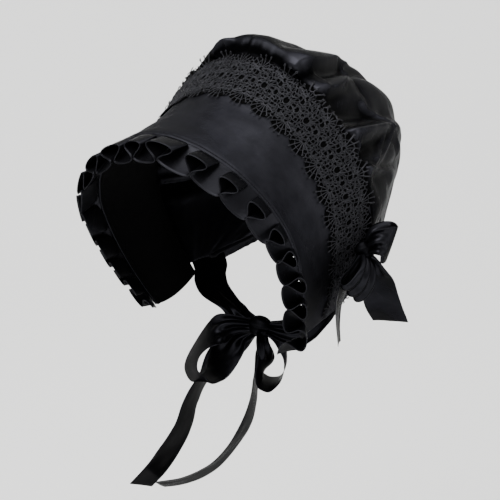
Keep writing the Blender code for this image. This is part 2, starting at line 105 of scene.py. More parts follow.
def unit(vectors: Array) -> Array:
    """Returns the vectors at length one."""
    return vectors / np.linalg.norm(vectors, axis=-1, keepdims=True)


def to_row(points: Array) -> Array:
    """Returns pattern millimetres as metres in the row frame."""
    return (points - HEAD_SEAT) * MM


def ease(values: Array) -> Array:
    """Returns a smooth step of values from 0 to 1."""
    held = np.clip(values, 0, 1)
    return held * held * (3 - 2 * held)


def hill(values: Array, at: float | Array, width: float | Array, power: int = 2) -> Array:
    """Returns a smooth hill of height one at a place."""
    return np.exp(-(((values - at) / width) ** power))


def blend(
    values: Array, rows: tuple[Array, Array], columns: tuple[Array, Array], a: Array, b: Array
) -> Array:
    """Values between the four nearest points of a grid.

    Args:
        values: the grid.
        rows: the rows before and behind each place.
        columns: the columns before and behind each place.
        a: how far each place is from its first row to its second, as a share.
        b: how far each place is from its first column to its second, as a share.

    Returns:
        A value for each place.
    """
    (i, next_i), (j, next_j) = rows, columns
    near = values[i, j] * (1 - a) + values[next_i, j] * a
    far = values[i, next_j] * (1 - a) + values[next_i, next_j] * a
    return near * (1 - b) + far * b


def soft_noise(across: Array, along: Array | float, seed: int) -> Array:
    """Smooth random values, one bump to a unit.

    Args:
        across: places in the first direction.
        along: places in the second direction.
        seed: picks the pattern.

    Returns:
        Values from -1 to 1 in the shape of the places.
    """
    lattice = np.random.default_rng(seed).uniform(-1, 1, NOISE_LATTICE)
    across, along = np.broadcast_arrays(across, along)
    i, j = np.floor(across).astype(int), np.floor(along).astype(int)
    height, width = NOISE_LATTICE
    rows, columns = (i % height, (i + 1) % height), (j % width, (j + 1) % width)
    return blend(lattice, rows, columns, ease(across - i), ease(along - j))


def normals_of(grid: Array, centre: Array) -> Array:
    """Unit normals of a grid of points.

    Args:
        grid: points in rows and columns.
        centre: a point that the normals turn away from.

    Returns:
        One normal for each point.
    """
    normals = unit(np.cross(np.gradient(grid, axis=0), np.gradient(grid, axis=1)))
    middle = tuple(size // 2 for size in grid.shape[:2])
    return normals if np.dot(normals[middle], grid[middle] - centre) > 0 else -normals


def run_lengths(points: Array) -> Array:
    """Returns how far along its line each point lies."""
    steps = np.linalg.norm(np.diff(points, axis=0), axis=-1)
    return np.concatenate([np.zeros_like(steps[:1]), np.cumsum(steps, axis=0)])


def row_lengths(grid: Array) -> Array:
    """Returns how far along its own row each point of a grid lies."""
    return run_lengths(np.swapaxes(grid, 0, 1)).T


def resample(grid: Array, known: Array, wanted: Array) -> Array:
    """A grid's points at other places along its rows.

    Args:
        grid: the points.
        known: where the points of each row lie, or those of every row.
        wanted: the places to find in each row.

    Returns:
        A point for each place.
    """
    known = np.broadcast_to(known, grid.shape[:2])
    found = np.empty((*wanted.shape, 3))
    for i, line in enumerate(grid):
        for axis in range(3):
            found[i, :, axis] = np.interp(wanted[i], known[i], line[:, axis])
    return found


def cloth_uv(grid: Array) -> Array:
    """A grid's own lengths, so that a weave keeps its scale.

    Args:
        grid: points in rows and columns.

    Returns:
        For each point, how far across and along the cloth it lies, in millimetres.
    """
    rows, columns = grid.shape[:2]
    lengths = run_lengths(grid[:, columns // 2]), run_lengths(grid[rows // 2])
    return np.stack(np.meshgrid(*lengths, indexing="ij"), -1)


def add_node(
    tree: bpy.types.NodeTree,
    kind: str,
    settings: dict[str | int, object] | None = None,
    links: dict[str | int, bpy.types.NodeSocket] | None = None,
) -> bpy.types.Node:
    """Adds a node with its settings and links.

    Args:
        tree: the material's node tree.
        kind: the node's type name without its leading ShaderNode.
        settings: properties of the node by name, and socket values by socket name or number.
        links: for each of its input sockets, the output that feeds it.

    Returns:
        The new node.
    """
    node = tree.nodes.new("ShaderNode" + kind)
    for key, value in (settings or {}).items():
        if isinstance(key, str) and hasattr(node, key):
            setattr(node, key, value)
        else:
            node.inputs[key].default_value = value
    for key, source in (links or {}).items():
        tree.links.new(source, node.inputs[key])
    return node


def new_tree(name: str) -> tuple[bpy.types.Material, bpy.types.NodeTree]:
    """Makes a material with an empty node tree.

    Args:
        name: the finish's name.

    Returns:
        The material and its tree.
    """
    material = bpy.data.materials.new(name)
    material.use_nodes = True
    material.node_tree.nodes.clear()
    return material, material.node_tree


def add_noise(
    tree: bpy.types.NodeTree,
    place: bpy.types.NodeSocket,
    scale: float,
    detail: float,
    roughness: float = 0.5,
    distortion: float = 0.0,
) -> bpy.types.NodeSocket:
    """Returns the output of a noise pattern at a place."""
    values = {"Scale": scale, "Detail": detail, "Roughness": roughness, "Distortion": distortion}
    return add_node(tree, "TexNoise", values, {"Vector": place}).outputs["Fac"]


def add_tones(
    tree: bpy.types.NodeTree, deep: str, worn_and_sheen: str, share: bpy.types.NodeSocket
) -> bpy.types.NodeSocket:
    """Returns a colour that a share mixes from two."""
    values = {"data_type": "RGBA", 6: linear(deep), 7: linear(worn_and_sheen)}
    return add_node(tree, "Mix", values, {0: share}).outputs[2]


def add_relief(
    tree: bpy.types.NodeTree,
    height: bpy.types.NodeSocket,
    strength: float,
    distance: float,
    under: bpy.types.NodeSocket | None = None,
) -> bpy.types.NodeSocket:
    """Adds a fine relief.

    Args:
        tree: the material's node tree.
        height: the output that says where it stands high.
        strength: how much of it shows.
        distance: its height in metres.
        under: the normal that it lies on, or None for the mesh's own.

    Returns:
        The normal that it gives.
    """
    links = {"Height": height} if under is None else {"Height": height, "Normal": under}
    return add_node(tree, "Bump", {"Strength": strength, "Distance": distance}, links).outputs[0]


def close_tree(
    tree: bpy.types.NodeTree,
    settings: dict[str | int, object],
    links: dict[str | int, bpy.types.NodeSocket],
) -> None:
    """Adds the surface's shader with its settings and links, and feeds it to the material's output."""
    shader = add_node(tree, "BsdfPrincipled", settings, links)
    add_node(tree, "OutputMaterial", links={"Surface": shader.outputs[0]})


@dataclass(frozen=True)
class Satin:
    """Silk or acetate satin, woven with long warp floats and pressed.

    To the eye it is near black where it faces away, with a broad soft shine across the floats.

    Attributes:
        name: the finish's name.
        deep: colour in the folds.
        worn_and_sheen: colour where it is rubbed or dusty.
        mirror: share of the light that the floats send back evenly, with no bright rim at grazing angles.
        edge: tint of that light at grazing angles, where the round floats shade each other.
        roughness: middle roughness of the face.
        thread: millimetres between drawn weft lines. The real 0.1 mm is too fine to show.
        float_share: how short a slub is along the floats, as a share of how wide it is.
        slub: height of the slubs in metres.
        clouds: worn places to a millimetre.
        crease_scale: fine press creases to a millimetre.
        creases: height of the creases in metres.
        selvedge: half the ribbon's width in millimetres, or 0 for cut cloth.
        hollow_shade: painted shade, the brightness of the bottoms of the folds, where the cloth shades
            itself, as a share.
        ridge: painted highlight, the brightness of the tops of the folds, as a share.
    """

    name: str
    deep: str = "#1c1c1f"
    worn_and_sheen: str = "#2a2a2e"
    mirror: float = 0.85
    edge: str = "#505052"
    roughness: float = 0.36
    thread: float = 0.9
    float_share: float = 0.12
    slub: float = 0.00012
    clouds: float = 0.06
    crease_scale: float = 0.16
    creases: float = 0.00035
    selvedge: float = 0.0
    hollow_shade: float = 1.0
    ridge: float = 1.0

    def make(self) -> bpy.types.Material:
        """Builds the material.

        Returns:
            The material, which reads the lengths in the mesh's weave map.
        """
        material, tree = new_tree(self.name)
        weave = add_node(tree, "UVMap", {"uv_map": WEAVE}).outputs["UV"]
        scale = (self.float_share / self.thread, 1 / self.thread, 1.0)
        floats = add_node(tree, "Mapping", {"Scale": scale}, {"Vector": weave}).outputs[0]
        slubs = add_noise(tree, floats, 1.0, 3.0, 0.6)
        clouds = add_noise(tree, weave, self.clouds, 4.0, 0.55)
        fine = add_noise(tree, weave, self.crease_scale, 3.0, distortion=0.8)
        tint = add_tones(tree, self.deep, self.worn_and_sheen, clouds)
        # Painted shade in the bottoms of the folds and painted highlight on their tops, scaled from the fold
        # marks.
        if self.hollow_shade != self.ridge:
            fold = add_node(tree, "Attribute", {"attribute_name": FOLD}).outputs["Fac"]
            shades = {"To Min": self.hollow_shade, "To Max": self.ridge}
            shade = add_node(tree, "MapRange", shades, {"Value": fold}).outputs[0]
            tint = add_node(tree, "VectorMath", {"operation": "SCALE"}, {0: tint, "Scale": shade}).outputs[0]
        rough = {"To Min": self.roughness - 0.06, "To Max": self.roughness + 0.08}
        normal = add_relief(tree, fine, 0.6, self.creases)
        normal = add_relief(tree, slubs, 0.5, self.slub, normal)
        if self.selvedge:
            across = add_node(tree, "SeparateXYZ", links={0: weave}).outputs["Y"]
            away = add_node(tree, "Math", {"operation": "ABSOLUTE"}, {0: across}).outputs[0]
            edge = {"operation": "COMPARE", 1: self.selvedge - 1.0, 2: 0.7}
            normal = add_relief(tree, add_node(tree, "Math", edge, {0: away}).outputs[0], 0.7, 0.0003, normal)
        settings = {
            "Metallic": self.mirror,
            "Specular Tint": linear(self.edge),
            "Specular IOR Level": 0.2,
            "Anisotropic": 0.35,
        }
        roughness = add_node(tree, "MapRange", rough, {"Value": slubs}).outputs[0]
        close_tree(tree, settings, {"Base Color": tint, "Roughness": roughness, "Normal": normal})
        return material


@dataclass(frozen=True)
class CordedThread:
    """Mercerised cotton cord, twisted and stitched on a machine.

    To the eye it is a matte black thread with a small highlight along its top, broken by the twist. Part of
    that highlight, and the shade low in the twist, is painted into its colour.

    Attributes:
        name: the finish's name.
        deep: colour low in the pattern, a painted shade.
        worn_and_sheen: colour on top, a painted highlight.
        mirror: share of the light that the waxed cord sends back evenly.
        edge: tint of that light at grazing angles.
        twist: millimetres from one turn of the ply to the next. The real 0.5 mm is too fine to show.
    """

    name: str
    deep: str = "#161618"
    worn_and_sheen: str = "#434347"
    mirror: float = 0.6
    edge: str = "#404042"
    twist: float = 1.1

    def make(self) -> bpy.types.Material:
        """Builds the material.

        Returns:
            The material, which reads the places on the object.
        """
        material, tree = new_tree(self.name)
        place = add_node(tree, "TexCoord").outputs["Object"]
        ply = add_noise(tree, place, 1000 / self.twist / 2.2, 2.0, 0.6)
        # Painted shade low in the twist and painted highlight on top, following its relief.
        colour = add_tones(tree, self.deep, self.worn_and_sheen, ply)
        settings = {
            "Metallic": self.mirror,
            "Roughness": 0.36,
            "Specular IOR Level": 0.1,
            "Specular Tint": linear(self.edge),
        }
        close_tree(tree, settings, {"Base Color": colour, "Normal": add_relief(tree, ply, 0.6, 0.0003)})
        return material


@dataclass(frozen=True)
class PlainCotton:
    """Plain-woven cotton lining or thread: matte black, which drinks the light.

    Attributes:
        name: the finish's name.
        deep: colour between the yarns, a painted shade.
        worn_and_sheen: colour on top of them, a painted highlight.
        thread: millimetres between drawn yarns. The real 0.3 mm is too fine to show.
    """

    name: str
    deep: str = "#020202"
    worn_and_sheen: str = "#050506"
    thread: float = 0.8

    def make(self) -> bpy.types.Material:
        """Builds the material.

        Returns:
            The material, which reads the places on the object.
        """
        material, tree = new_tree(self.name)
        place = add_node(tree, "TexCoord").outputs["Object"]
        yarn = add_noise(tree, place, 1000 / self.thread / 2, 3.0)
        # Painted shade between the yarns and painted highlight on top, following their relief.
        colour = add_tones(tree, self.deep, self.worn_and_sheen, yarn)
        settings = {"Roughness": 0.9, "Specular IOR Level": 0.05}
        close_tree(tree, settings, {"Base Color": colour, "Normal": add_relief(tree, yarn, 0.4, 0.0002)})
        return material


@dataclass(frozen=True)
class MattePaint:
    """Flat emulsion on the studio floor: an even, pale, soft ground."""

    name: str
    colour: str = "#f4f4f3"

    def make(self) -> bpy.types.Material:
        """Builds the material.

        Returns:
            The material, which reads the places on the object.
        """
        material, tree = new_tree(self.name)
        place = add_node(tree, "TexCoord").outputs["Object"]
        stipple = add_noise(tree, place, 40.0, 2.0)
        settings = {"Base Color": linear(self.colour), "Roughness": 0.9, "Specular IOR Level": 0.2}
        close_tree(tree, settings, {"Normal": add_relief(tree, stipple, 0.05, 0.0005)})
        return material


def new_object(name: str, data: bpy.types.ID) -> bpy.types.Object:
    """Returns a new object of the scene."""
    item = bpy.data.objects.new(name, data)
    bpy.context.scene.collection.objects.link(item)
    return item


def turn_object(item: bpy.types.Object, place: Array, right: Array, back: Array) -> None:
    """Puts an object in its place, with its right and back sides turned to two directions."""
    matrix = np.eye(4)
    matrix[:3] = np.stack([right, np.cross(back, right), back, place], 1)
    item.matrix_world = Matrix(matrix.tolist())


def mesh_object(name: str, points: Array, faces: Array, uv: Array | None = None) -> bpy.types.Object:
    """A smooth-shaded mesh object.

    Args:
        name: the piece's name.
        points: pattern millimetres.
        faces: corner indices, one row of three or four to a face.
        uv: for each point, its place in the weave map.

    Returns:
        The object, linked to the scene.
    """
    mesh = bpy.data.meshes.new(name)
    mesh.from_pydata(to_row(points).tolist(), [], faces.tolist())
    if uv is not None:
        layer = mesh.uv_layers.new(name=WEAVE)
        layer.data.foreach_set("uv", uv[faces.reshape(-1)].ravel())
    mesh.shade_smooth()
    return new_object(name, mesh)


def blurred(values: Array, reach: int) -> Array:
    """A grid of points, evened out.

    Args:
        values: the points in rows and columns.
        reach: how many points away still count.

    Returns:
        The grid, as large as before.
    """
    kernel = np.hanning(2 * reach + 3)[1:-1]
    for axis in (0, 1):
        margin = [(reach, reach) if axis == other else (0, 0) for other in range(3)]
        padded = np.pad(values, margin, mode="reflect", reflect_type="odd")
        values = np.apply_along_axis(np.convolve, axis, padded, kernel / kernel.sum(), mode="valid")
    return values


def paint_fold_shade(item: bpy.types.Object, grid: Array, centre: Array, height: float, shade: Array) -> None:
    """Stores how far each point stands above its surroundings, less its painted shade, for the finish to
    paint shade into the low points and a highlight onto the high ones.

    Args:
        item: the piece.
        grid: its points in rows and columns.
        centre: a point behind its face.
        height: the height in millimetres from the bottom of a fold to its top.
        shade: how much each point is shaded by what lies over it, as a share.
    """
    relief = np.sum((grid - blurred(grid, FOLD_REACH)) * normals_of(grid, centre), axis=2)
    layer = item.data.attributes.new(FOLD, "FLOAT", "POINT")
    layer.data.foreach_set("value", np.clip(0.5 + relief / height - shade, 0, 1).ravel())


def grid_faces(rows: int, columns: int) -> Array:
    """Returns the quads of a grid of points."""
    index = np.arange(rows * columns).reshape(rows, columns)
    return np.stack([index[:-1, :-1], index[1:, :-1], index[1:, 1:], index[:-1, 1:]], -1).reshape(-1, 4)


def cloth_object(
    name: str, grid: Array, thick: float, uv: Array | None = None, centre: Array | None = None
) -> bpy.types.Object:
    """A sheet of cloth through a grid of points, with its thickness behind it.

    Args:
        name: the piece's name.
        grid: points of its face in rows and columns, in pattern millimetres.
        thick: its thickness in millimetres.
        uv: places in the weave map, or None for the grid's own lengths.
        centre: a point behind its face, or None where either face may be the front.

    Returns:
        The object with a Solidify modifier.
    """
    faces = grid_faces(*grid.shape[:2])
    row, column = (size // 2 for size in grid.shape[:2])
    front = np.cross(grid[row + 1, column] - grid[row, column], grid[row, column + 1] - grid[row, column])
    if centre is not None and np.dot(front, grid[row, column] - centre) < 0:
        faces = faces[:, ::-1]
    weave = cloth_uv(grid) if uv is None else uv
    item = mesh_object(name, grid.reshape(-1, 3), faces, weave.reshape(-1, 2))
    solid = item.modifiers.new("thickness", "SOLIDIFY")
    solid.thickness = thick * MM
    solid.offset = -1.0
    return item


class Tubes:
    """Collects many thin cords, to be made as one mesh."""

    def __init__(self) -> None:
        """Starts with none."""
        self.points: list[Array] = []
        self.faces: list[Array] = []
        self.count = 0

    def add(self, path: Array, radius: float | Array, up: Array, sides: int = 5, flat: float = 1.0) -> None:
        """Adds one cord.

        Args:
            path: its centreline.
            radius: its radius, the same all along or one to a point.
            up: the direction of its thickness at each point.
            sides: corners round it.
            flat: its thickness as a share of its width.
        """
        along = unit(np.gradient(path, axis=0))
        side = unit(np.cross(along, up))
        over = unit(np.cross(side, along))
        turns = np.arange(sides) * 2 * pi / sides
        wide = np.broadcast_to(np.asarray(radius, float), (len(path),))[:, None, None]
        ring = side[:, None] * np.cos(turns)[:, None] + over[:, None] * np.sin(turns)[:, None] * flat
        self.points.append((path[:, None] + ring * wide).reshape(-1, 3))
        corner = np.arange(len(path) * sides).reshape(len(path), sides) + self.count
        rolled = np.roll(corner, -1, axis=1)
        self.faces.append(np.stack([corner[:-1], rolled[:-1], rolled[1:], corner[1:]], -1).reshape(-1, 4))
        self.count += len(path) * sides

    def make(self, name: str) -> bpy.types.Object:
        """Returns all the cords as one object."""
        return mesh_object(name, np.concatenate(self.points), np.concatenate(self.faces))


class Ring(NamedTuple):
    """A horseshoe that carries the cap: its centre, tilt, half width, rise, drop, corner and squareness."""

    y: float
    z: float
    tilt: float
    half: float
    rise: float
    drop: float
    corner: float
    squareness: float


class Fold(NamedTuple):
    """A soft fold of the crown: its place, drift, height and width, and where it begins and ends."""

    at: float
    drift: float
    height: float
    width: float
    start: float
    end: float


class Crease(NamedTuple):
    """A sharp crease of the crown, through three places around and down it.

    The widths are those of its flank towards the top and of its flank away from it, in millimetres.
    """

    first: tuple[float, float]
    middle: tuple[float, float]
    last: tuple[float, float]
    height: float
    before: float
    after: float


class Unevenness(NamedTuple):
    """A soft unevenness of cloth.

    Its height and its sizes around and down are in millimetres, as are the lengths that slant it. The shifts
    and the seed pick which one it is.
    """

    height: float
    around: float
    down: float
    seed: int
    slant_around: float = inf
    slant_down: float = inf
    shift_around: float = 0.0
    shift_down: float = 0.0

    def at(self, around: Array, down: Array) -> Array:
        """Its height at some places.

        Args:
            around: millimetres around.
            down: millimetres down.

        Returns:
            Millimetres outward.
        """
        first = around / self.around + down / self.slant_around + self.shift_around
        second = down / self.down - around / self.slant_down + self.shift_down
        return self.height * soft_noise(first, second, self.seed)


RUFFLE_SEAM = Ring(-38.5, 96.5, 25.6, 102.5, 97.0, 94.0, 80.0, 1.85)
LACE_FRONT = Ring(12.5, 101.0, 12.0, 98.5, 108.0, 85.5, 77.5, 1.93)
CROWN_SEAM = Ring(46.0, 118.0, 7.5, 116.0, 118.0, 90.5, 80.5, 1.7)
BRIM_CENTRE = np.array([0.0, 0.0, CROWN_SEAM.z])
CROWN_CENTRE = HEAD_SEAT - np.array([0.0, 0.0, 80.0])
FOLDS = (
    Fold(0.10, -0.02, -3.0, 0.030, 0.05, 0.50),
    Fold(0.17, -0.05, 5.0, 0.032, 0.00, 0.70),
    Fold(0.22, -0.05, -4.0, 0.026, 0.10, 0.60),
    Fold(0.25, -0.05, 4.0, 0.030, 0.00, 0.50),
    Fold(0.29, 0.08, -8.5, 0.036, 0.02, 0.50),
    Fold(0.37, 0.05, 7.0, 0.030, 0.00, 0.75),
    Fold(0.42, 0.00, -4.0, 0.024, 0.00, 0.35),
    Fold(0.46, -0.02, 4.0, 0.024, 0.00, 0.40),
    Fold(0.49, 0.07, -5.0, 0.026, 0.05, 0.65),
    Fold(0.58, 0.05, 2.0, 0.050, 0.00, 0.75),
    Fold(0.70, 0.05, -3.0, 0.035, 0.00, 0.70),
    Fold(0.26, 0.00, 6.0, 0.070, 0.35, 0.95),
    Fold(0.66, 0.00, -4.0, 0.090, 0.25, 1.00),
)
CREASES = (
    Crease((-0.14, 0.01), (-0.11, 0.04), (-0.06, 0.04), 4.6, 3.0, 5.0),
    Crease((0.17, 0.0), (0.17, 0.24), (0.09, 0.46), 4.2, 10.0, 4.0),
    Crease((0.24, 0.0), (0.25, 0.18), (0.21, 0.33), 4.9, 7.0, 2.5),
    Crease((0.21, 0.33), (0.17, 0.34), (0.14, 0.41), 3.8, 3.0, 4.0),
    Crease((0.36, 0.01), (0.38, 0.20), (0.40, 0.40), 6.1, 2.5, 8.0),
    Crease((0.30, 0.30), (0.35, 0.36), (0.40, 0.40), 4.2, 8.0, 3.0),
    Crease((0.40, 0.40), (0.44, 0.34), (0.47, 0.22), 3.4, 3.0, 4.0),
    Crease((0.40, 0.08), (0.42, 0.05), (0.45, 0.0), 3.8, 2.2, 2.2),
    Crease((0.42, 0.31), (0.45, 0.22), (0.47, 0.13), 2.8, 2.5, 2.5),
    Crease((0.45, 0.0), (0.49, 0.19), (0.56, 0.43), 5.3, 2.5, 9.0),
    Crease((0.40, 0.40), (0.45, 0.46), (0.52, 0.50), 3.0, 4.0, 4.0),
    Crease((-0.30, 0.02), (-0.32, 0.20), (-0.30, 0.42), 4.2, 8.0, 3.0),
    Crease((-0.48, 0.0), (-0.52, 0.20), (-0.50, 0.46), 4.6, 3.0, 8.0),
    Crease((-0.64, 0.05), (-0.66, 0.30), (-0.60, 0.60), 3.4, 3.0, 7.0),
)


@dataclass
class Shell:
    """The shape that the brim, lace, frill and crown share, as the solids have it."""

    arch_share: float = 0.58
    waist: float = 0.58
    nape_depth: float = 142.0
    nape_rise: float = 50.0
    leave: float = 8.8
    leave_side: float = -22.5
    front_pull: float = 0.16
    back_pull: float = 0.68
    back_pull_side: float = 0.14
    nape_slope: float = 55.0
    nape_flare: float = -0.15
    puff: float = 14.3
    puff_place: float = 0.08
    puff_spread: float = 0.21
    nape_round: float = 2.4
    nape_gather: float = 1.3
    swell_back: float = 60.0
    swell_share: float = 0.3
    crown_reach: float = 0.965
    right_share: float = 0.4

    def arch(self, ring: Ring, around: Array) -> Array:
        """Points of a ring.

        Args:
            ring: the horseshoe.
            around: places from -1 at the right corner over the top to 1 at the left one.

        Returns:
            A point for each place.
        """
        away = np.abs(around)
        angle = np.clip(away / self.arch_share, 0, 1) * pi / 2
        down = np.clip((away - self.arch_share) / (1 - self.arch_share), 0, 1)
        power = 2 / ring.squareness
        over = away <= self.arch_share
        lower = ring.half - (ring.half - ring.corner) * down**2
        side = np.where(over, ring.half * np.sin(angle) ** power, lower) * np.sign(around)
        height = np.where(over, ring.rise * np.clip(np.cos(angle), 0, 1) ** power, -ring.drop * down)
        tilt = radians(ring.tilt)
        return np.stack([side, ring.y - height * sin(tilt), ring.z + height * cos(tilt)], -1)

    def evenly(self, shares: Array) -> Array:
        """Places evenly spaced on the lace's front ring.

        Args:
            shares: from -1 to 1 of half its length.

        Returns:
            The place around for each share.
        """
        fine = np.linspace(-1, 1, FINE)
        run = run_lengths(self.arch(LACE_FRONT, fine))
        return np.interp(shares, run / run[-1] * 2 - 1, fine)

    def brim(self, around: Array, along: Array) -> Array:
        """Points of the brim's outer face.

        Args:
            around: places around.
            along: from 0 at the frill to 1 at the crown seam, in a shape that goes with around.

        Returns:
            A point for each pair.
        """
        middle = self.waist
        share = np.asarray(along)[..., None]
        front = self.arch(RUFFLE_SEAM, around) * (share - middle) * (share - 1) / middle
        waist = self.arch(LACE_FRONT, around) * share * (share - 1) / (middle * (middle - 1))
        back = self.arch(CROWN_SEAM, around) * share * (share - middle) / (1 - middle)
        return front + waist + back

    def brim_grid(self, around: Array, along: Array) -> Array:
        """Returns the brim's points for each place around and each place along."""
        return np.stack([self.brim(around, np.full(len(around), share)) for share in along], 1)

    def ring_outward(self, ring: Ring, around: Array) -> Array:
        """Directions away from a ring, in its own plane.

        Args:
            ring: the horseshoe.
            around: places around.

        Returns:
            A unit direction for each place.
        """
        step = 1e-4
        tangent = unit(self.arch(ring, around + step) - self.arch(ring, around - step))
        tilt = radians(ring.tilt)
        return unit(np.cross(tangent, np.array([0, cos(tilt), sin(tilt)])))

    def nape(self, across: Array) -> Array:
        """Points of the nape's edge.

        Args:
            across: places from -1 at the right corner to 1 at the left one.

        Returns:
            A point for each place.
        """
        corner = self.arch(CROWN_SEAM, np.array([1.0]))[0]
        spread = np.abs(across)
        back = corner[1] + self.nape_depth * (1 - spread**self.nape_round)
        return np.stack([corner[0] * across, back, corner[2] + self.nape_rise * (1 - spread**2)], -1)

    def crown_sheet(self, around: Array, down: Array) -> Array:
        """The crown before its folds.

        Args:
            around: places around the crown seam.
            down: shares of the way from the seam to the nape.

        Returns:
            A grid of points.
        """
        seam = self.arch(CROWN_SEAM, around)
        tilt = radians(CROWN_SEAM.tilt)
        back = np.array([0, cos(tilt), sin(tilt)])
        across = np.sign(around) * np.abs(around) ** self.nape_gather
        nape = self.nape(across)
        chord = np.linalg.norm(seam - nape, axis=1, keepdims=True)
        lean = np.radians(self.leave + self.leave_side * around**2)[:, None]
        leave = back * np.cos(lean) + self.ring_outward(CROWN_SEAM, around) * np.sin(lean)
        slope = np.full_like(across, radians(self.nape_slope))
        arrive = unit(np.stack([self.nape_flare * across, np.cos(slope), np.sin(slope)], -1))
        first = seam + self.front_pull * chord * leave
        second = nape + (self.back_pull + self.back_pull_side * around[:, None] ** 2) * chord * arrive
        v = down[None, :, None]
        sheet = seam[:, None] * (1 - v) ** 3 + 3 * first[:, None] * v * (1 - v) ** 2
        sheet = sheet + 3 * second[:, None] * v**2 * (1 - v) + nape[:, None] * v**3
        middle = np.array([0, CROWN_SEAM.y + self.swell_back, CROWN_SEAM.z])
        swell = unit((sheet - middle) * np.array([1, self.swell_share, 1]))
        place = down / self.puff_place
        spread = hill(around, 0.0, self.puff_spread, 4)
        amount = self.puff * (place * np.exp(1 - place))[None] * spread[:, None]
        return sheet + swell * amount[..., None]

    def folds(self, around: Array, down: Array) -> Array:
        """How far the soft folds move the crown outward.

        Args:
            around: places around.
            down: shares of the way down.

        Returns:
            Millimetres outward, one row to a place around.
        """
        heights = np.zeros((len(around), len(down)))
        for fold in FOLDS:
            run = np.clip((down - fold.start) / (fold.end - fold.start), 0, 1)
            strength = fold.height * np.sin(pi * run**0.6) ** 0.8
            line = fold.at + fold.drift * run
            for side, share in ((1, 1.0), (-1, self.right_share)):
                heights += share * strength * hill(side * around[:, None], line, fold.width)
        return heights

    def folded(self, around: Array, down: Array, lift: float = 0.0) -> Array:
        """The crown with its soft folds.

        Args:
            around: places around the crown seam.
            down: shares of the way from the seam to the nape.
            lift: how far outside it the points lie, in millimetres.

        Returns:
            A grid of points.
        """
        sheet = self.crown_sheet(around, down)
        return sheet + normals_of(sheet, CROWN_CENTRE) * (self.folds(around, down) + lift)[..., None]


def dress(item: bpy.types.Object, slot: Slot, *materials: bpy.types.Material) -> bpy.types.Object:
    """Gives a piece its finish and lets it ride.

    Args:
        item: the piece.
        slot: the record's material slot. Not used.
        materials: its materials in order.

    Returns:
        The same piece.
    """
    for material in materials:
        item.data.materials.append(material)
    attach(item, "root")
    LOG.info("%s: %d faces", item.name, len(item.data.polygons))
    return item


@dataclass
class Brim:
    """The stiff front: satin over a stiffened shape, with a stitched front edge and a matte lining."""

    shell: Shell
    thick: float = 2.2
    columns: int = 300
    seam_gap: float = 0.5
    stitch_back: float = 4.2
    stitch_pitch: float = 3.2
    stitch_share: float = 0.68
    stitch_radius: float = 0.26
    stitch_margin: float = 3.0
    stitch_lift: tuple[float, ...] = (-0.1, 0.3, 0.3, -0.1)
    groove_depth: float = 0.7
    groove_width: float = 0.9
    edge_roll: float = 0.9
    swell: float = 0.35
    swell_width: float = 1.3
    pucker_reach: float = 7.0
    calm_front: float = 14.0
    calm_end: float = 8.0
    puckers: Unevenness = Unevenness(0.28, 5.0, 14.0, 3)
    ripples: tuple[Unevenness, ...] = (
        Unevenness(0.55, 70.0, 13.0, 8, 60.0, 90.0),
        Unevenness(0.3, 28.0, 30.0, 12),
    )
    finish: Satin = Satin(
        "brim_pressed_satin", deep="#18181b", worn_and_sheen="#303035", roughness=0.46, creases=0.0003
    )
    lining: PlainCotton = PlainCotton("brim_cotton_lining")
    thread: PlainCotton = PlainCotton("brim_stitching_thread", deep="#0c0c0e", worn_and_sheen="#242428")
    depths: Array = field(
        default_factory=lambda: np.concatenate([np.linspace(0, 0.16, 25), np.linspace(0.18, 1, 34)])
    )

    def face(self, around: Array, along: Array) -> Array:
        """The outer face with its groove, puckers and soft ripples.

        Args:
            around: places around.
            along: shares of the way back.

        Returns:
            A grid of points.
        """
        grid = self.shell.brim_grid(around, along)
        back = row_lengths(grid)
        run = run_lengths(self.shell.arch(RUFFLE_SEAM, around))[:, None]
        groove = self.groove_depth * hill(back, self.stitch_back, self.groove_width)
        roll = self.edge_roll * hill(back, 0.0, self.edge_roll)
        swell = self.swell * hill(back, self.stitch_back / 2, self.swell_width)
        puckers = self.puckers.at(run, back) * np.exp(-np.abs(back - self.stitch_back) / self.pucker_reach)
        ends = ease((run[-1] - run) / self.calm_end) * ease(run / self.calm_end)
        calm = ease(back / self.calm_front) * ends
        wave = sum(ripple.at(run, back) for ripple in self.ripples) * calm
        return grid + normals_of(grid, BRIM_CENTRE) * (swell - groove - roll + puckers + wave)[..., None]

    def make(self) -> bpy.types.Object:
        """Builds the brim.

        Returns:
            The brim's cover, lined.
        """
        around = self.shell.evenly(np.linspace(-1, 1, self.columns + 1))
        depth = self.shell.arch(CROWN_SEAM, around) - self.shell.arch(LACE_FRONT, around)
        last = 1 - (1 - self.shell.waist) * self.seam_gap / np.linalg.norm(depth, axis=1).mean()
        grid = self.face(around, self.depths * last)
        cover = cloth_object("brim_cover", grid, self.thick, centre=BRIM_CENTRE)
        cover.modifiers["thickness"].material_offset = 1
        dress(cover, Slot.BRIM, self.finish.make(), self.lining.make())
        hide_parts("brim")
        return cover

    def stitches(self) -> bpy.types.Object:
        """Builds the line of stitches behind the frill.

        Returns:
            All the stitches as one piece.
        """
        around = self.shell.evenly(np.linspace(-1, 1, FINE))
        grid = self.face(around, np.linspace(0, 0.14, 29))
        nearest = np.arange(len(around)), np.argmin(np.abs(row_lengths(grid) - self.stitch_back), axis=1)
        line, up = grid[nearest], normals_of(grid, BRIM_CENTRE)[nearest]
        run = run_lengths(line)
        lift = np.array(self.stitch_lift)[:, None]
        tubes = Tubes()
        for start in np.arange(self.stitch_margin, run[-1] - self.stitch_margin, self.stitch_pitch):
            stretch = start + np.linspace(0, self.stitch_pitch * self.stitch_share, len(lift))
            path, over = (resample(part[None], run, stretch[None])[0] for part in (line, up))
            tubes.add(path + over * lift, self.stitch_radius, over)
        return dress(tubes.make("brim_stitches"), Slot.BRIM, self.thread.make())


class Cord(NamedTuple):
    """A cord of the lace before it is draped: its flat path, its radius and its height."""

    path: Array
    radius: float
    height: float


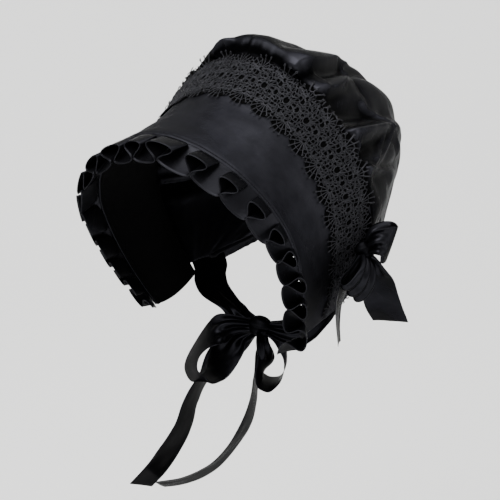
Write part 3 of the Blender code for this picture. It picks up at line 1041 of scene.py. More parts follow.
@dataclass
class Lace:
    """A machine-made band of corded lace: fans along both edges, eyelets between, and a corded ground."""

    shell: Shell
    repeats: int = 23
    reach: float = 0.985
    first: float = 0.53
    lift: float = 1.25
    width: float = 40.0
    repeat_width: float = 21.6
    over_crown: float = 10.0
    over_at: float = 0.30
    over_spread: float = 0.26
    over_edge: float = 0.6
    crown_lift: float = 1.3
    crown_depths: tuple[float, float] = (0.004, 0.09)
    cord: float = 0.46
    hub: float = 1.7
    fan: float = 10.4
    fan_foot: float = 0.3
    fan_bars: int = 9
    fan_spread: float = 102.0
    fan_step: float = 0.035
    fan_round: float = 2.4
    fan_thick: tuple[float, float] = (0.95, 1.15)
    fan_arc: float = 0.66
    arc_thick: float = 0.7
    arc_sag: float = 0.3
    picot: float = 0.7
    picot_foot: float = 0.4
    picot_tip: float = 0.8
    picot_thick: float = 0.75
    ring_corners: int = 9
    eyelet_bar: float = 2.6
    eyelet_edge: float = 8.0
    cord_rise: float = 0.25
    pull: float = 0.985
    pull_change: float = 0.01
    height_change: float = 0.12
    mesh: float = 2.7
    mesh_jitter: float = 0.8
    mesh_edge: float = 8.5
    diagonals: float = 0.35
    net_steps: int = 12
    net_sink: float = 0.3
    net_inset: float = 0.62
    net_scallop: float = 0.42
    finish: CordedThread = CordedThread("lace_cotton_cord")
    # The net's near-black colour is partly a painted shadow in the holes between the cords.
    net_and_shadow_finish: PlainCotton = PlainCotton("lace_fine_net_and_shadow", deep="#010101", worn_and_sheen="#030303")

    def surface(self) -> tuple[Array, Array]:
        """The face that the band lies on: the brim, then the first of the crown behind its seam.

        Returns:
            A grid of points, evenly spaced from the band's front edge to its back edge, and their normals.
        """
        around = self.shell.evenly(np.linspace(-self.reach, self.reach, 921))
        brim = self.shell.brim_grid(around, np.linspace(self.first, 1, 61))
        crown = self.shell.folded(around, np.linspace(*self.crown_depths, 25), self.crown_lift)
        whole = np.concatenate([brim, crown], 1)
        run = row_lengths(whole)
        over = self.over_crown * hill(np.abs(around), self.over_at, self.over_spread, 4)
        last = run[:, brim.shape[1] - 1] - self.over_edge + over
        grid = resample(whole, run, np.linspace(0, 1, 81) * last[:, None])
        return grid, normals_of(grid, BRIM_CENTRE)

    def fans(self) -> list[Cord]:
        """The two fans of a repeat: bars from a hub, short arcs between them, and a picot at each tip.

        Returns:
            The cords of the front edge's fan, then those of the back edge's.
        """
        centre = np.array([self.repeat_width / 2, self.fan + self.fan_foot])
        front, tips = [], []
        for number, angle in enumerate(np.linspace(-self.fan_spread, self.fan_spread, self.fan_bars)):
            longer = number % 2
            way = np.array([sin(radians(angle)), -cos(radians(angle))])
            reach = self.fan * (1 + self.fan_step * longer)
            reach -= self.fan_round * abs(angle / self.fan_spread) ** 3
            path = centre + way * np.linspace(self.hub, reach, 4)[:, None]
            front.append(Cord(path, self.cord * self.fan_thick[longer], height=0.75))
            tips.append(centre + way * reach)
        for start, end in zip(tips, tips[1:]):
            low, high = (centre + (tip - centre) * self.fan_arc for tip in (start, end))
            middle = (low + high) / 2 + unit(centre - low) * self.arc_sag
            front.append(Cord(np.stack([low, middle, high]), self.cord * self.arc_thick, height=0.2))
        for tip in tips:
            away = unit(tip - centre)
            aside = np.array([-away[1], away[0]]) * self.picot
            foot, head = tip - away * self.picot_foot, tip + away * self.picot_tip
            picot = np.stack([foot, tip + aside, head, tip - aside, foot])
            front.append(Cord(picot, self.cord * self.picot_thick, height=0.7))
        front.append(Cord(ring_path(centre, self.hub, self.ring_corners), self.cord, height=0.7))
        back = [Cord(path * [1, -1] + [0, self.width], radius, height) for path, radius, height in front]
        return front + back

    def openings(self) -> tuple[tuple[float, float, float, int], ...]:
        """The eyelets of a repeat.

        Returns:
            For each one, its place across and along, its radius and its number of bars.
        """
        return (
            (0.0, self.width / 2, 2.7, 9),
            (self.repeat_width / 2, self.width / 2, 2.2, 8),
            (0.0, self.eyelet_edge, 2.0, 7),
            (0.0, self.width - self.eyelet_edge, 2.0, 7),
        )

    def eyelets(self) -> list[Cord]:
        """The eyelets of a repeat, each a ring with short bars around it.

        Returns:
            Their cords.
        """
        found = []
        for across, along, radius, bars in self.openings():
            centre = np.array([across, along])
            found.append(Cord(ring_path(centre, radius, self.ring_corners), self.cord, height=0.7))
            for turn in np.arange(bars) * 2 * pi / bars:
                stretch = np.array([[radius], [radius + self.eyelet_bar]])
                path = centre + np.array([cos(turn), sin(turn)]) * stretch
                found.append(Cord(path, self.cord * 0.9, height=0.45))
        return found

    def ground(self) -> list[Cord]:
        """The corded ground of a repeat: a net of short threads, left out where the eyelets are open.

        Returns:
            Its cords.
        """
        random = np.random.default_rng(5)
        columns = round(self.repeat_width / self.mesh)
        step = self.repeat_width / columns
        rows = round((self.width - 2 * self.mesh_edge) / step)
        jitter = random.uniform(-self.mesh_jitter, self.mesh_jitter, (columns + 1, rows + 1, 2))
        jitter[-1] = jitter[0]
        lines = np.arange(columns + 1) * step, self.mesh_edge + np.arange(rows + 1) * step
        place = np.stack(np.meshgrid(*lines, indexing="ij"), -1) + jitter
        sides = (0.0, self.repeat_width)
        holes = [(x + side, y, radius) for x, y, radius, _ in self.openings() for side in sides]
        inward = self.fan + self.fan_foot
        holes += [(self.repeat_width / 2, y, self.hub) for y in (inward, self.width - inward)]
        found = []
        for i in range(columns):
            for j in range(rows):
                ways = [(1, 0), (0, 1)] + ([(1, 1)] if random.uniform() < self.diagonals else [])
                for di, dj in ways:
                    start, end = place[i, j], place[i + di, j + dj]
                    middle = (start + end) / 2
                    if any(np.hypot(middle[0] - x, middle[1] - y) < radius for x, y, radius in holes):
                        continue
                    bow = np.array([-(end - start)[1], (end - start)[0]]) * random.uniform(-0.3, 0.3)
                    thick = self.cord * random.uniform(0.8, 1.15)
                    found.append(Cord(np.stack([start, middle + bow, end]), thick, random.uniform(0.1, 0.9)))
        return found

    def drape(self, flat: Array) -> Array:
        """Lays flat points onto the brim.

        Args:
            flat: across in repeats, along from 0 to 1 of the band's width, and height in millimetres.

        Returns:
            The points in pattern millimetres.
        """
        grid, normals = self.surface()
        rows, columns = grid.shape[:2]
        u = np.clip(flat[:, 0] / self.repeats, 0, 1) * (rows - 1.001)
        v = np.clip(flat[:, 1], 0, 1) * (columns - 1.001)
        i, j = u.astype(int), v.astype(int)
        near = (i, i + 1), (j, j + 1), (u - i)[:, None], (v - j)[:, None]
        return blend(grid, *near) + unit(blend(normals, *near)) * (self.lift + flat[:, 2:3])

    def make(self) -> bpy.types.Object:
        """Builds the band.

        Returns:
            The lace as one piece.
        """
        flat = Tubes()
        for path, radius, height in [*self.fans(), *self.eyelets(), *self.ground()]:
            arch = height * (1 - self.cord_rise + self.cord_rise * np.sin(np.linspace(0, pi, len(path))))
            up = np.tile([0.0, 0.0, 1.0], (len(path), 1))
            flat.add(np.column_stack([path, arch]), radius, up, sides=4, flat=0.8)
        points, faces = np.concatenate(flat.points), np.concatenate(flat.faces)
        random = np.random.default_rng(9)
        all_points, all_faces = [], []
        for repeat in range(self.repeats):
            moved = points * [1 / self.repeat_width, 1 / self.width, 1.0] + [repeat, 0.0, 0.0]
            pull = self.pull + self.pull_change * sin(repeat * 2.4)
            moved[:, 1] = 0.5 + (moved[:, 1] - 0.5) * pull
            moved[:, 2] += self.height_change * random.uniform(-1, 1)
            all_points.append(moved)
            all_faces.append(faces + repeat * len(points))
        item = mesh_object("lace_trim", self.drape(np.concatenate(all_points)), np.concatenate(all_faces))
        dress(item, Slot.LACE, self.finish.make())
        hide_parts("lace_band")
        return item

    def net(self) -> bpy.types.Object:
        """Builds the fine net that the cords are stitched to, whose own holes are too small to show, in a
        near-black colour that is also a painted shadow in the lace's open holes.

        Returns:
            The net as one sheet, scalloped a little inside the fans.
        """
        across = np.linspace(0, self.repeats, self.repeats * self.net_steps + 1)[:, None]
        swell = np.abs(np.sin(pi * across)) ** 0.6
        inset = (self.fan * self.net_inset - self.fan * self.net_scallop * swell) / self.width
        along = inset + (1 - 2 * inset) * np.linspace(0, 1, 13)
        flat = np.stack(np.broadcast_arrays(across, along, -self.net_sink), -1)
        item = mesh_object("lace_net_and_shadow", self.drape(flat.reshape(-1, 3)), grid_faces(*along.shape))
        return dress(item, Slot.LACE, self.net_and_shadow_finish.make())


def ring_path(centre: Array, radius: float, corners: int) -> Array:
    """Returns a closed flat circle as a path that ends where it starts."""
    turns = np.arange(corners + 1) * 2 * pi / corners
    return centre + radius * np.stack([np.cos(turns), np.sin(turns)], -1)


@dataclass
class Frill:
    """The gathered frill at the front: rounded flutes that stand to either side of a short header."""

    shell: Shell
    left: tuple[float, ...] = (0.0, 0.14, 0.26, 0.37, 0.48, 0.58, 0.68, 0.78, 0.89, 1.0)
    right: tuple[float, ...] = (0.0, 0.09, 0.22, 0.34, 0.48, 0.63, 0.74, 0.83, 0.91, 1.0)
    steps: int = 40
    rows: int = 16
    depth: float = 26.0
    out_left: float = 12.0
    out_right: float = 5.0
    in_left: float = 7.0
    in_right: float = 10.0
    curl: float = 0.265
    bulge: float = 0.118
    tuck: float = 2.5
    header: float = 0.04
    flare: float = 0.62
    lean_top: float = 8.0
    lean_left: float = 4.0
    lean_right: float = 40.0
    drop_left: float = 11.0
    drop_right: float = 3.0
    drop_share: float = 0.08
    thick: float = 0.6
    hem: float = 0.5
    seat: float = 1.1
    turn_start: float = -0.1
    turn_width: float = 0.35
    closed: float = 0.12
    uneven: float = 0.16
    uneven_rate: float = 0.9
    hem_share: float = 0.95
    hem_uneven: float = 0.02
    hem_rate: float = 1.7
    crest: float = 0.08
    gather: float = 0.45
    gather_pitch: float = 3.4
    gather_rate: float = 0.8
    gather_start: float = 0.125
    wrinkle: float = 0.5
    wrinkle_pitch: float = 9.0
    wrinkle_rate: float = 1.5
    seeds: tuple[int, int, int, int] = (4, 6, 15, 21)
    flat: tuple[float, float] = (1.2, 0.030)
    finish: Satin = Satin("frill_satin", roughness=0.32, creases=0.0003)

    def places(self) -> Array:
        """Where the frill's points lie on its seam, evenly spaced in every flute.

        Returns:
            The place around at each step.
        """
        fine = np.linspace(0, 1, 1001)
        run = run_lengths(self.shell.arch(RUFFLE_SEAM, fine))
        shares = [-edge for edge in self.right[:0:-1]] + list(self.left)
        count = self.steps * (len(shares) - 1)
        places = np.interp(np.arange(count + 1) / self.steps, range(len(shares)), shares)
        return np.sign(places) * np.interp(np.abs(places), run / run[-1], fine)

    def face(self) -> Array:
        """The frill's middle surface: flutes that open from the seam to the hem.

        Returns:
            A grid of points, one row to a step and one column to a depth.
        """
        uneven_seed, hem_seed, gather_seed, wrinkle_seed = self.seeds
        around = self.places()
        seam = self.shell.brim(around, np.zeros_like(around))
        forward = unit(seam - self.shell.brim(around, np.full_like(around, 0.05)))
        tangent = unit(np.gradient(seam, axis=0))
        outward = unit(np.cross(forward, tangent))
        if outward[len(around) // 2, 2] < 0:
            outward = -outward
        seam = seam - outward * self.seat
        side = np.where(around > 0, self.lean_left, self.lean_right)
        lean = np.radians(self.lean_top + (side - self.lean_top) * around**2)[:, None]
        run = forward * np.cos(lean) - outward * np.sin(lean)
        drop = np.where(around > 0, self.drop_left, self.drop_right)
        drop = drop * np.clip((np.abs(around) - 1 + self.drop_share) / self.drop_share, 0, 1)
        number = np.arange(len(around)) / self.steps
        phase = number * 2 * pi
        turned = ease((around - self.turn_start) / self.turn_width)
        out = self.out_right + (self.out_left - self.out_right) * turned
        inward = self.in_right + (self.in_left - self.in_right) * turned
        wave = (out - inward) / 2 - (out + inward) / 2 * np.cos(phase)
        wave = wave * (1 + self.uneven * soft_noise(number * self.uneven_rate, 0.0, uneven_seed))
        lengths = run_lengths(seam)
        pitch = np.gradient(lengths) * self.steps
        turn = pitch * (self.curl * np.sin(2 * phase) + self.bulge * turned * np.sin(phase))
        hem = self.hem_share + self.hem_uneven * soft_noise(number * self.hem_rate, 0.0, hem_seed)
        grid = []
        for share in np.concatenate([[-self.tuck / self.depth], np.linspace(0, 1, self.rows + 1)]):
            opening = float(np.clip((share - self.header) / (1 - self.header), 0, 1)) ** self.flare
            closing = float(np.clip(share / self.closed, 0, 1)) ** 0.5
            reach = self.depth * share * (hem + self.crest * share * np.cos(phase))
            gathered = self.gather * (1 - share) * float(np.clip(share / self.gather_start, 0, 1))
            gathers = soft_noise(lengths / self.gather_pitch, share * self.gather_rate, gather_seed)
            wrinkles = soft_noise(lengths / self.wrinkle_pitch, share * self.wrinkle_rate, wrinkle_seed)
            offset = opening * wave + gathered * gathers + self.wrinkle * share * wrinkles
            moves = ((run, reach), (outward, offset), (tangent, closing * turn), (np.array([0, 0, -1]), drop))
            grid.append(seam + sum(way * amount[:, None] for way, amount in moves))
        return np.stack(grid, 1)

    def make(self) -> bpy.types.Object:
        """Builds the frill with its rolled hem.

        Returns:
            The frill.
        """
        grid = self.face()
        normals = normals_of(grid, BRIM_CENTRE)
        material = self.finish.make()
        cloth = cloth_object("frill_cloth", grid + normals * self.thick / 2, self.thick, centre=BRIM_CENTRE)
        dress(cloth, Slot.FRILL, material)
        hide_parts("ruffle")
        tubes = Tubes()
        tubes.add(grid[:, -1], self.hem, normals[:, -1], sides=6)
        hem = dress(tubes.make("frill_hem"), Slot.FRILL, material)
        return cloth


@dataclass
class Crown:
    """The puffed bag, gathered into the crown seam and drawn down to the nape."""

    shell: Shell
    columns: int = 380
    rows: int = 120
    thick: float = 1.4
    band_depth: float = 12.0
    around_scale: float = 270.0
    down_scale: float = 260.0
    crease_start: float = 7.0
    crease_trough: float = 0.25
    crease_first: tuple[float, float] = (0.12, 0.25)
    crease_last: tuple[float, float] = (0.3, 0.1)
    seam_gathers: Unevenness = Unevenness(0.8, 4.2, 30.0, 31, shift_around=60.0)
    seam_gather_start: float = 2.0
    seam_gather_depth: float = 16.0
    long_gathers: Unevenness = Unevenness(0.9, 13.0, 60.0, 33, shift_around=60.0)
    long_gather_depth: float = 45.0
    nape_gathers: Unevenness = Unevenness(1.1, 5.0, 40.0, 35, shift_around=60.0)
    nape_gather_depth: float = 22.0
    crumples: Unevenness = Unevenness(0.5, 22.0, 16.0, 37, 40.0, 60.0, 60.0, 60.0)
    crumple_start: float = 12.0
    billows: Unevenness = Unevenness(1.2, 60.0, 55.0, 39, shift_around=60.0, shift_down=60.0)
    billow_start: float = 40.0
    tuck: float = 3.5
    # Height scale of the fold marks, and the painted shade on the crown just behind its seam, under the
    # lace's edge.
    relief: float = 3.8
    seam_shade: float = 0.6
    seam_reach: float = 0.13
    flat: tuple[float, float] = (0.62, 0.30)
    area: float = 0.105
    # Paints shade into the bottoms of the folds and a highlight onto their tops.
    finish: Satin = Satin(
        "crown_satin_cloth",
        deep="#19191c",
        worn_and_sheen="#252529",
        edge="#363638",
        roughness=0.32,
        creases=0.0004,
        hollow_shade=0.12,
        ridge=2.3,
    )

    def creases(self, around: Array, down: Array) -> Array:
        """Heights of the sharp creases.

        Args:
            around: places around.
            down: shares of the way down, in a shape that goes with around.

        Returns:
            Millimetres outward.
        """
        (first, first_height), (last, last_height) = self.crease_first, self.crease_last
        scale = np.array([self.around_scale, self.down_scale])
        heights = np.zeros(np.broadcast(around, down).shape)
        u = around * self.around_scale
        v = down * self.down_scale
        for crease in CREASES:
            line = smooth_path(np.array([crease.first, crease.middle, crease.last]) * scale, 12)
            best = np.full(heights.shape, 1e9)
            side = np.zeros(heights.shape)
            share = np.zeros(heights.shape)
            for number in range(len(line) - 1):
                start, step = line[number], line[number + 1] - line[number]
                t = np.clip(((u - start[0]) * step[0] + (v - start[1]) * step[1]) / np.dot(step, step), 0, 1)
                du, dv = u - start[0] - t * step[0], v - start[1] - t * step[1]
                away = np.hypot(du, dv)
                closer = away < best
                best = np.where(closer, away, best)
                side = np.where(closer, du, side)
                share = np.where(closer, (number + t) / (len(line) - 1), share)
            width = np.where(side * np.sign(crease.middle[0]) < 0, crease.before, crease.after)
            rise, fall = share / first + first_height, (1 - share) / last + last_height
            taper = np.clip(np.minimum(rise, fall), 0, 1)
            ridge = np.exp(-best / width) - self.crease_trough * hill(best, 2 * width, width)
            heights += crease.height * taper * ridge
        return heights

    def surface(self, around: Array, down: Array) -> Array:
        """The crown's outer face with its folds, creases and gathers.

        Args:
            around: places around.
            down: a grid of shares of the way down, one row to a place around.

        Returns:
            A grid of points.
        """
        fine = np.linspace(0, 1, 321)
        sheet = self.shell.crown_sheet(around, fine)
        wide, deep = np.meshgrid(around, fine, indexing="ij")
        u, v = wide * self.around_scale, deep * self.down_scale
        seam_fade = np.exp(-v / self.seam_gather_depth) * np.minimum(1, v / self.seam_gather_start)
        nape_fade = np.exp(-(self.down_scale - v) / self.nape_gather_depth)
        crumples = self.crumples.at(u, v) + self.billows.at(u, v) * ease(v / self.billow_start)
        heights = self.shell.folds(around, fine)
        heights += self.creases(wide, deep) * ease(v / self.crease_start)
        heights += self.seam_gathers.at(u, v) * seam_fade
        heights += self.long_gathers.at(u, v) * np.exp(-v / self.long_gather_depth)
        heights += self.nape_gathers.at(u, v) * nape_fade
        heights += crumples * ease(v / self.crumple_start)
        return resample(sheet + normals_of(sheet, CROWN_CENTRE) * heights[..., None], fine, down)

    def band_start(self, around: Array) -> Array:
        """Where the bag ends and the casing begins.

        Args:
            around: places around.

        Returns:
            A share of the way down for each place.
        """
        fine = np.linspace(0, 1, 201)
        steps = np.linalg.norm(np.diff(self.shell.folded(around, fine), axis=1), axis=2)
        left = np.cumsum(steps[:, ::-1], axis=1)[:, ::-1]
        depth = np.minimum(self.band_depth, left[:, 0] * 0.4)
        return np.array([np.interp(-deep, -row, fine[:-1]) for deep, row in zip(depth, left)])

    def make(self) -> bpy.types.Object:
        """Builds the bag.

        Returns:
            The crown's cloth.
        """
        around = self.shell.evenly(np.linspace(-1, 1, self.columns + 1) * self.shell.crown_reach)
        down = self.band_start(around)[:, None] * np.linspace(0, 1, self.rows + 1) ** 1.15
        grid = self.surface(around, down)
        tilt = radians(CROWN_SEAM.tilt)
        edge = grid[:, 0] - np.array([0, cos(tilt), sin(tilt)]) * self.tuck
        edge = edge - self.shell.ring_outward(CROWN_SEAM, around) * self.thick / 2
        grid = np.concatenate([edge[:, None], grid], axis=1)
        down = np.concatenate([down[:, :1], down], axis=1)
        bag = cloth_object("crown_bag", grid, self.thick, centre=CROWN_CENTRE)
        # Painted shade under the lace's edge and in the fold bottoms, painted highlight on the fold tops.
        paint_fold_shade(bag, grid, CROWN_CENTRE, self.relief, self.seam_shade * np.exp(-down / self.seam_reach))
        dress(bag, Slot.CROWN, self.finish.make())
        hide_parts("crown")
        return bag


@dataclass
class NapeCasing:
    """The gathered casing under the crown, drawn in by its cord to a small frill."""

    crown: Crown
    columns: int = 260
    lap: float = 1.6
    lift: float = 0.5
    depth: float = 12.0
    thick: float = 1.2
    wave: float = 1.3
    pitch: float = 7.5
    pitch_change: float = 20.0
    pinch: float = 0.7
    pinch_at: float = 0.45
    pinch_width: float = 0.12
    flat: tuple[float, float] = (0.40, 0.0115)
    finish: Satin = Satin("nape_casing_cloth", deep="#141416", worn_and_sheen="#202023", roughness=0.45)

    def make(self) -> bpy.types.Object:
        """Builds the casing.

        Returns:
            The casing.
        """
        shell = self.crown.shell
        around = shell.evenly(np.linspace(-1, 1, self.columns + 1) * shell.crown_reach)
        starts = self.crown.band_start(around)[:, None]
        starts = starts - (1 - starts) * self.lap / self.depth
        share = np.linspace(0, 1, 11)
        fine = np.linspace(0, 1, 241)
        sheet = resample(shell.folded(around, fine), fine, starts + (1 - starts) * share)
        run = run_lengths(sheet[:, -1])[:, None]
        phase = 2 * pi * run / self.pitch + 2 * soft_noise(run / self.pitch_change, 0.0, 41)
        height = self.lift + self.wave * share * np.sin(phase)
        height = height - self.pinch * hill(share, self.pinch_at, self.pinch_width)
        grid = sheet + normals_of(sheet, CROWN_CENTRE) * height[..., None]
        casing = cloth_object("nape_casing", grid, self.thick, centre=CROWN_CENTRE)
        dress(casing, Slot.CASING, self.finish.make())
        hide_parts("nape_band")
        return casing


class Row(NamedTuple):
    """A place along a ribbon: its middle, the direction of its width, and the width across its folds."""

    x: float
    y: float
    z: float
    turn: float
    lift: float
    width: float = 32.0


class Length(NamedTuple):
    """A length of ribbon at a knot: its piece's name, its node, its open rows and its held ends."""

    name: str
    node: str
    rows: tuple[Row, ...]
    ends: Ends


def smooth_path(values: Array, steps: int) -> Array:
    """A smooth curve through each value.

    Args:
        values: one row to a value.
        steps: how many pieces to make between two values.

    Returns:
        The curve's points.
    """
    padded = np.concatenate([[2 * values[0] - values[1]], values, [2 * values[-1] - values[-2]]])
    found = []
    for start in range(len(values) - 1):
        a, b, c, d = padded[start : start + 4]
        for t in np.arange(steps) / steps:
            found.append(b + 0.5 * t * (c - a + t * (2 * a - 5 * b + 4 * c - d + t * (3 * (b - c) + d - a))))
    found.append(values[-1])
    return np.array(found)


def width_direction(row: Row) -> Array:
    """Returns the unit direction of a ribbon's width."""
    turn, lift = radians(row.turn), radians(row.lift)
    return np.array([cos(lift) * cos(turn), cos(lift) * sin(turn), sin(lift)])


@dataclass
class Ribbon:
    """A length of satin ribbon that keeps its full width in pleats where a knot draws it in."""

    name: str
    node: str
    rows: tuple[Row, ...]
    cut: float = 32.0
    steps: int = 10
    across: int = 22
    pleats: float = 2.5
    pleat_spare: float = 1.1
    pleat_depth: float = 2.2
    thick: float = 0.45
    cup: float = 0.8
    cup_length: float = 23.0
    flutter: float = 0.35
    flutter_length: float = 14.0
    seed: int = 1

    def middle(self) -> Array:
        """Returns the line along its middle."""
        return smooth_path(np.array([row[:3] for row in self.rows], float), self.steps)

    def make(self, material: bpy.types.Material, slot: Slot, rests_on: str) -> bpy.types.Object:
        """Builds the ribbon.

        Args:
            material: its finish.
            slot: the record's material slot.
            rests_on: the piece that it hangs from. Not used.

        Returns:
            The ribbon.
        """
        middle = self.middle()
        side = unit(smooth_path(np.array([width_direction(row) for row in self.rows]), self.steps))
        width = smooth_path(np.array([[row.width] for row in self.rows], float), self.steps)
        path = unit(np.gradient(middle, axis=0))
        side = unit(side - path * np.sum(side * path, axis=1, keepdims=True) * 0.5)
        normal = unit(np.cross(path, side))
        place = np.linspace(-1, 1, self.across + 1)
        spare = np.sqrt(np.maximum(self.cut**2 - np.minimum(width, self.cut) ** 2, 0))
        depth = np.minimum(spare / (4 * self.pleats) * self.pleat_spare, self.pleat_depth)
        run = run_lengths(middle)
        wave = depth * np.sin(pi * self.pleats * place + 0.6 * self.seed)
        cup = self.cup * (1 - place**2) * np.sin(run[:, None] / self.cup_length + self.seed)
        along = run[:, None] / self.flutter_length + 7 * self.seed
        flutter = self.flutter * soft_noise(along, place[None] * 1.6 + 9, 50 + self.seed)
        grid = middle[:, None] + side[:, None] * (place * width)[..., None] / 2
        grid = grid + normal[:, None] * (wave + cup + flutter)[..., None]
        uv = np.stack(np.meshgrid(run, place * self.cut / 2, indexing="ij"), -1)
        item = cloth_object(self.name, grid, self.thick, uv)
        item.modifiers["thickness"].offset = 0.0
        dress(item, slot, material)
        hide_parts(self.node)
        return item


@dataclass
class Knot:
    """A ribbon knot: a rounded core wrapped by a pleated band."""

    name: str
    node: str
    centre: Array
    size: Array
    swell: float = 1.0
    tilt: float = 20.0
    pleats: int = 3
    pleat_height: float = 0.09
    dent: float = 0.04
    pole: float = 0.02
    weave_scale: float = 9.0
    weave_shift: float = 14.0
    root_depth: float = 1.5
    root_width: float = 12.0

    def make(self, material: bpy.types.Material, slot: Slot) -> bpy.types.Object:
        """Builds the knot.

        Args:
            material: its finish.
            slot: the record's material slot.

        Returns:
            The knot.
        """
        lean = radians(self.tilt)
        turns = np.linspace(0, 2 * pi, 73)
        around, high = np.meshgrid(turns, np.linspace(self.pole, pi - self.pole, 41), indexing="ij")
        pleats = np.sin(self.pleats * 2 * high + lean * 3 * np.cos(around)) * np.sin(high) ** 2
        away = 1 + self.pleat_height * pleats + self.dent * np.sin(2 * around + 1.0)
        away = away * np.sin(high) ** 0.8
        points = np.stack([np.cos(around) * away, np.sin(around) * away, np.cos(high)], -1)
        turn = np.array([[cos(lean), 0, sin(lean)], [0, 1, 0], [-sin(lean), 0, cos(lean)]])
        grid = (points @ turn.T) * (self.size * self.swell) + self.centre
        uv = np.stack([around * self.weave_scale, high * self.weave_scale - self.weave_shift], -1)
        item = mesh_object(self.name, grid.reshape(-1, 3), grid_faces(*grid.shape[:2]), uv.reshape(-1, 2))
        dress(item, slot, material)
        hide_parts(self.node)
        return item

    def root(self, row: Row) -> Row:
        """The end of a ribbon inside the knot.

        Args:
            row: the ribbon's first or last open row.

        Returns:
            The extra row.
        """
        direction = unit(np.array(row[:3]) - self.centre)
        place = self.centre + direction * (np.linalg.norm(direction * self.size) - self.root_depth)
        across = width_direction(row)
        across = unit(across - direction * np.dot(across, direction))
        turn, lift = np.degrees(np.arctan2(across[1], across[0])), np.degrees(np.arcsin(across[2]))
        return Row(*place, float(turn), float(lift), self.root_width)

    def hold(self, ribbons: tuple[Length, ...], material: bpy.types.Material, slot: Slot, seed: int) -> None:
        """Builds the ribbons that the knot holds.

        Args:
            ribbons: their names, nodes, open rows and held ends.
            material: their finish.
            slot: the record's material slot.
            seed: the first one's seed. Each next one has the next number.
        """
        for number, (name, node, rows, ends) in enumerate(ribbons):
            first, last = ends.value
            whole = (self.root(rows[0]),) * first + rows + (self.root(rows[-1]),) * last
            Ribbon(name, node, whole, seed=seed + number).make(material, slot, self.name)


@dataclass
class Ties:
    """The chin ribbons, the bow under the chin and its two long tails."""

    knot: Array = field(default_factory=lambda: np.array([0.0, 50.0, -4.0]))
    size: Array = field(default_factory=lambda: np.array([10.0, 7.5, 8.0]))
    swell: float = 1.12
    finish: Satin = Satin(
        "tie_ribbon_satin_cloth",
        deep="#121214",
        worn_and_sheen="#1c1c20",
        edge="#1e1e20",
        roughness=0.30,
        creases=0.0002,
        selvedge=16.0,
    )
    # A darker copy of the ribbon's satin: painted shade in the knot's wraps, on rougher crumpled cloth.
    knot_shaded_finish: Satin = Satin(
        "knot_satin_cloth", deep="#0a0a0b", worn_and_sheen="#101013", roughness=0.42, creases=0.0006
    )
    loop_left: tuple[Row, ...] = (
        Row(-21, 36, -4, -42, -70, 19),
        Row(-31, 28, -9, -34, -30, 31),
        Row(-42, 24, -19, -34, 0),
        Row(-52, 22, -34, -32, 18),
        Row(-56, 23, -49, -28, 18),
        Row(-49, 28, -59, -14, 12),
        Row(-41, 35, -54, -14, 10),
        Row(-35, 39, -42, 0, 6),
        Row(-30, 43, -28, 14, 6, 31),
        Row(-24, 46, -17, 30, -10, 22),
    )
    loop_right: tuple[Row, ...] = (
        Row(9, 43, -18, 92, -14, 24),
        Row(10, 45, -31, 100, -17),
        Row(6, 44, -43, 112, -12),
        Row(4, 47, -52, 118, 2),
        Row(8, 53, -56, 121, 8),
        Row(14, 60, -52, 125, -4),
        Row(16, 65, -42, 125, -16),
        Row(16, 64, -29, 122, -16, 30),
        Row(13, 59, -18, 112, -20, 20),
    )
    tail_left: tuple[Row, ...] = (
        Row(-23, 61, -15, 40, -50, 18),
        Row(-40, 64, -29, 55, -40, 27),
        Row(-56, 63, -45, 80, -28),
        Row(-67, 54, -65, 108, -18),
        Row(-67, 35, -83, 106, -19),
        Row(-69, 27, -104, 100, -22),
        Row(-80, 21, -128, 94, -22),
        Row(-93, 16, -149, 90, -21),
        Row(-106, 10, -166, 90, -21),
    )
    tail_right: tuple[Row, ...] = (
        Row(-3, 58, -24, 95, -25, 18),
        Row(-8, 59, -39, 115, -23, 29),
        Row(-11, 58, -56, 119, -21),
        Row(-12, 55, -77, 117, -21),
        Row(-17, 51, -99, 111, -20),
        Row(-28, 45, -121, 110, -17),
        Row(-46, 38, -143, 116, -27),
        Row(-69, 29, -158, 123, -30),
        Row(-92, 20, -165, 121, -29),
    )
    ribbon_right: tuple[Row, ...] = (
        Row(-98, 77, 60, 75, 19),
        Row(-84, 76, 45, 75, 19),
        Row(-73, 71, 34, 75, 19),
        Row(-67, 63, 26, 82, 17),
        Row(-58, 57, 19, 88, 12),
        Row(-46, 54, 13, 90, 4, 30),
        Row(-33, 52, 7, 90, 0, 26),
        Row(-21, 50, 1, 88, 30, 18),
    )
    ribbon_left: tuple[Row, ...] = (
        Row(72, 75, 42, 105, 19),
        Row(73, 71, 33, 105, 22),
        Row(66, 61, 20, 105, 40),
        Row(55, 57, 9, 105, 58, 31),
        Row(42, 54, 0, 105, 66, 30),
        Row(27, 52, -4, 105, 70, 22),
    )

    def make(self) -> None:
        """Builds the knot, the two ribbons, the loops and the tails."""
        knot = Knot("chin_knot", "chin_bow_knot", self.knot, self.size, self.swell)
        knot.make(self.knot_shaded_finish.make(), Slot.TIES)
        ribbons = (
            Length("chin_tie_left", "chin_ribbon_left", self.ribbon_left, Ends.LAST),
            Length("chin_tie_right", "chin_ribbon_right", self.ribbon_right, Ends.LAST),
            Length("chin_tail_left_cloth", "chin_tail_left", self.tail_left, Ends.FIRST),
            Length("chin_tail_right_cloth", "chin_tail_right", self.tail_right, Ends.FIRST),
            Length("chin_loop_left", "chin_bow_loop_left", self.loop_left, Ends.BOTH),
            Length("chin_loop_right", "chin_bow_loop_right", self.loop_right, Ends.BOTH),
        )
        knot.hold(ribbons, self.finish.make(), Slot.TIES, seed=1)


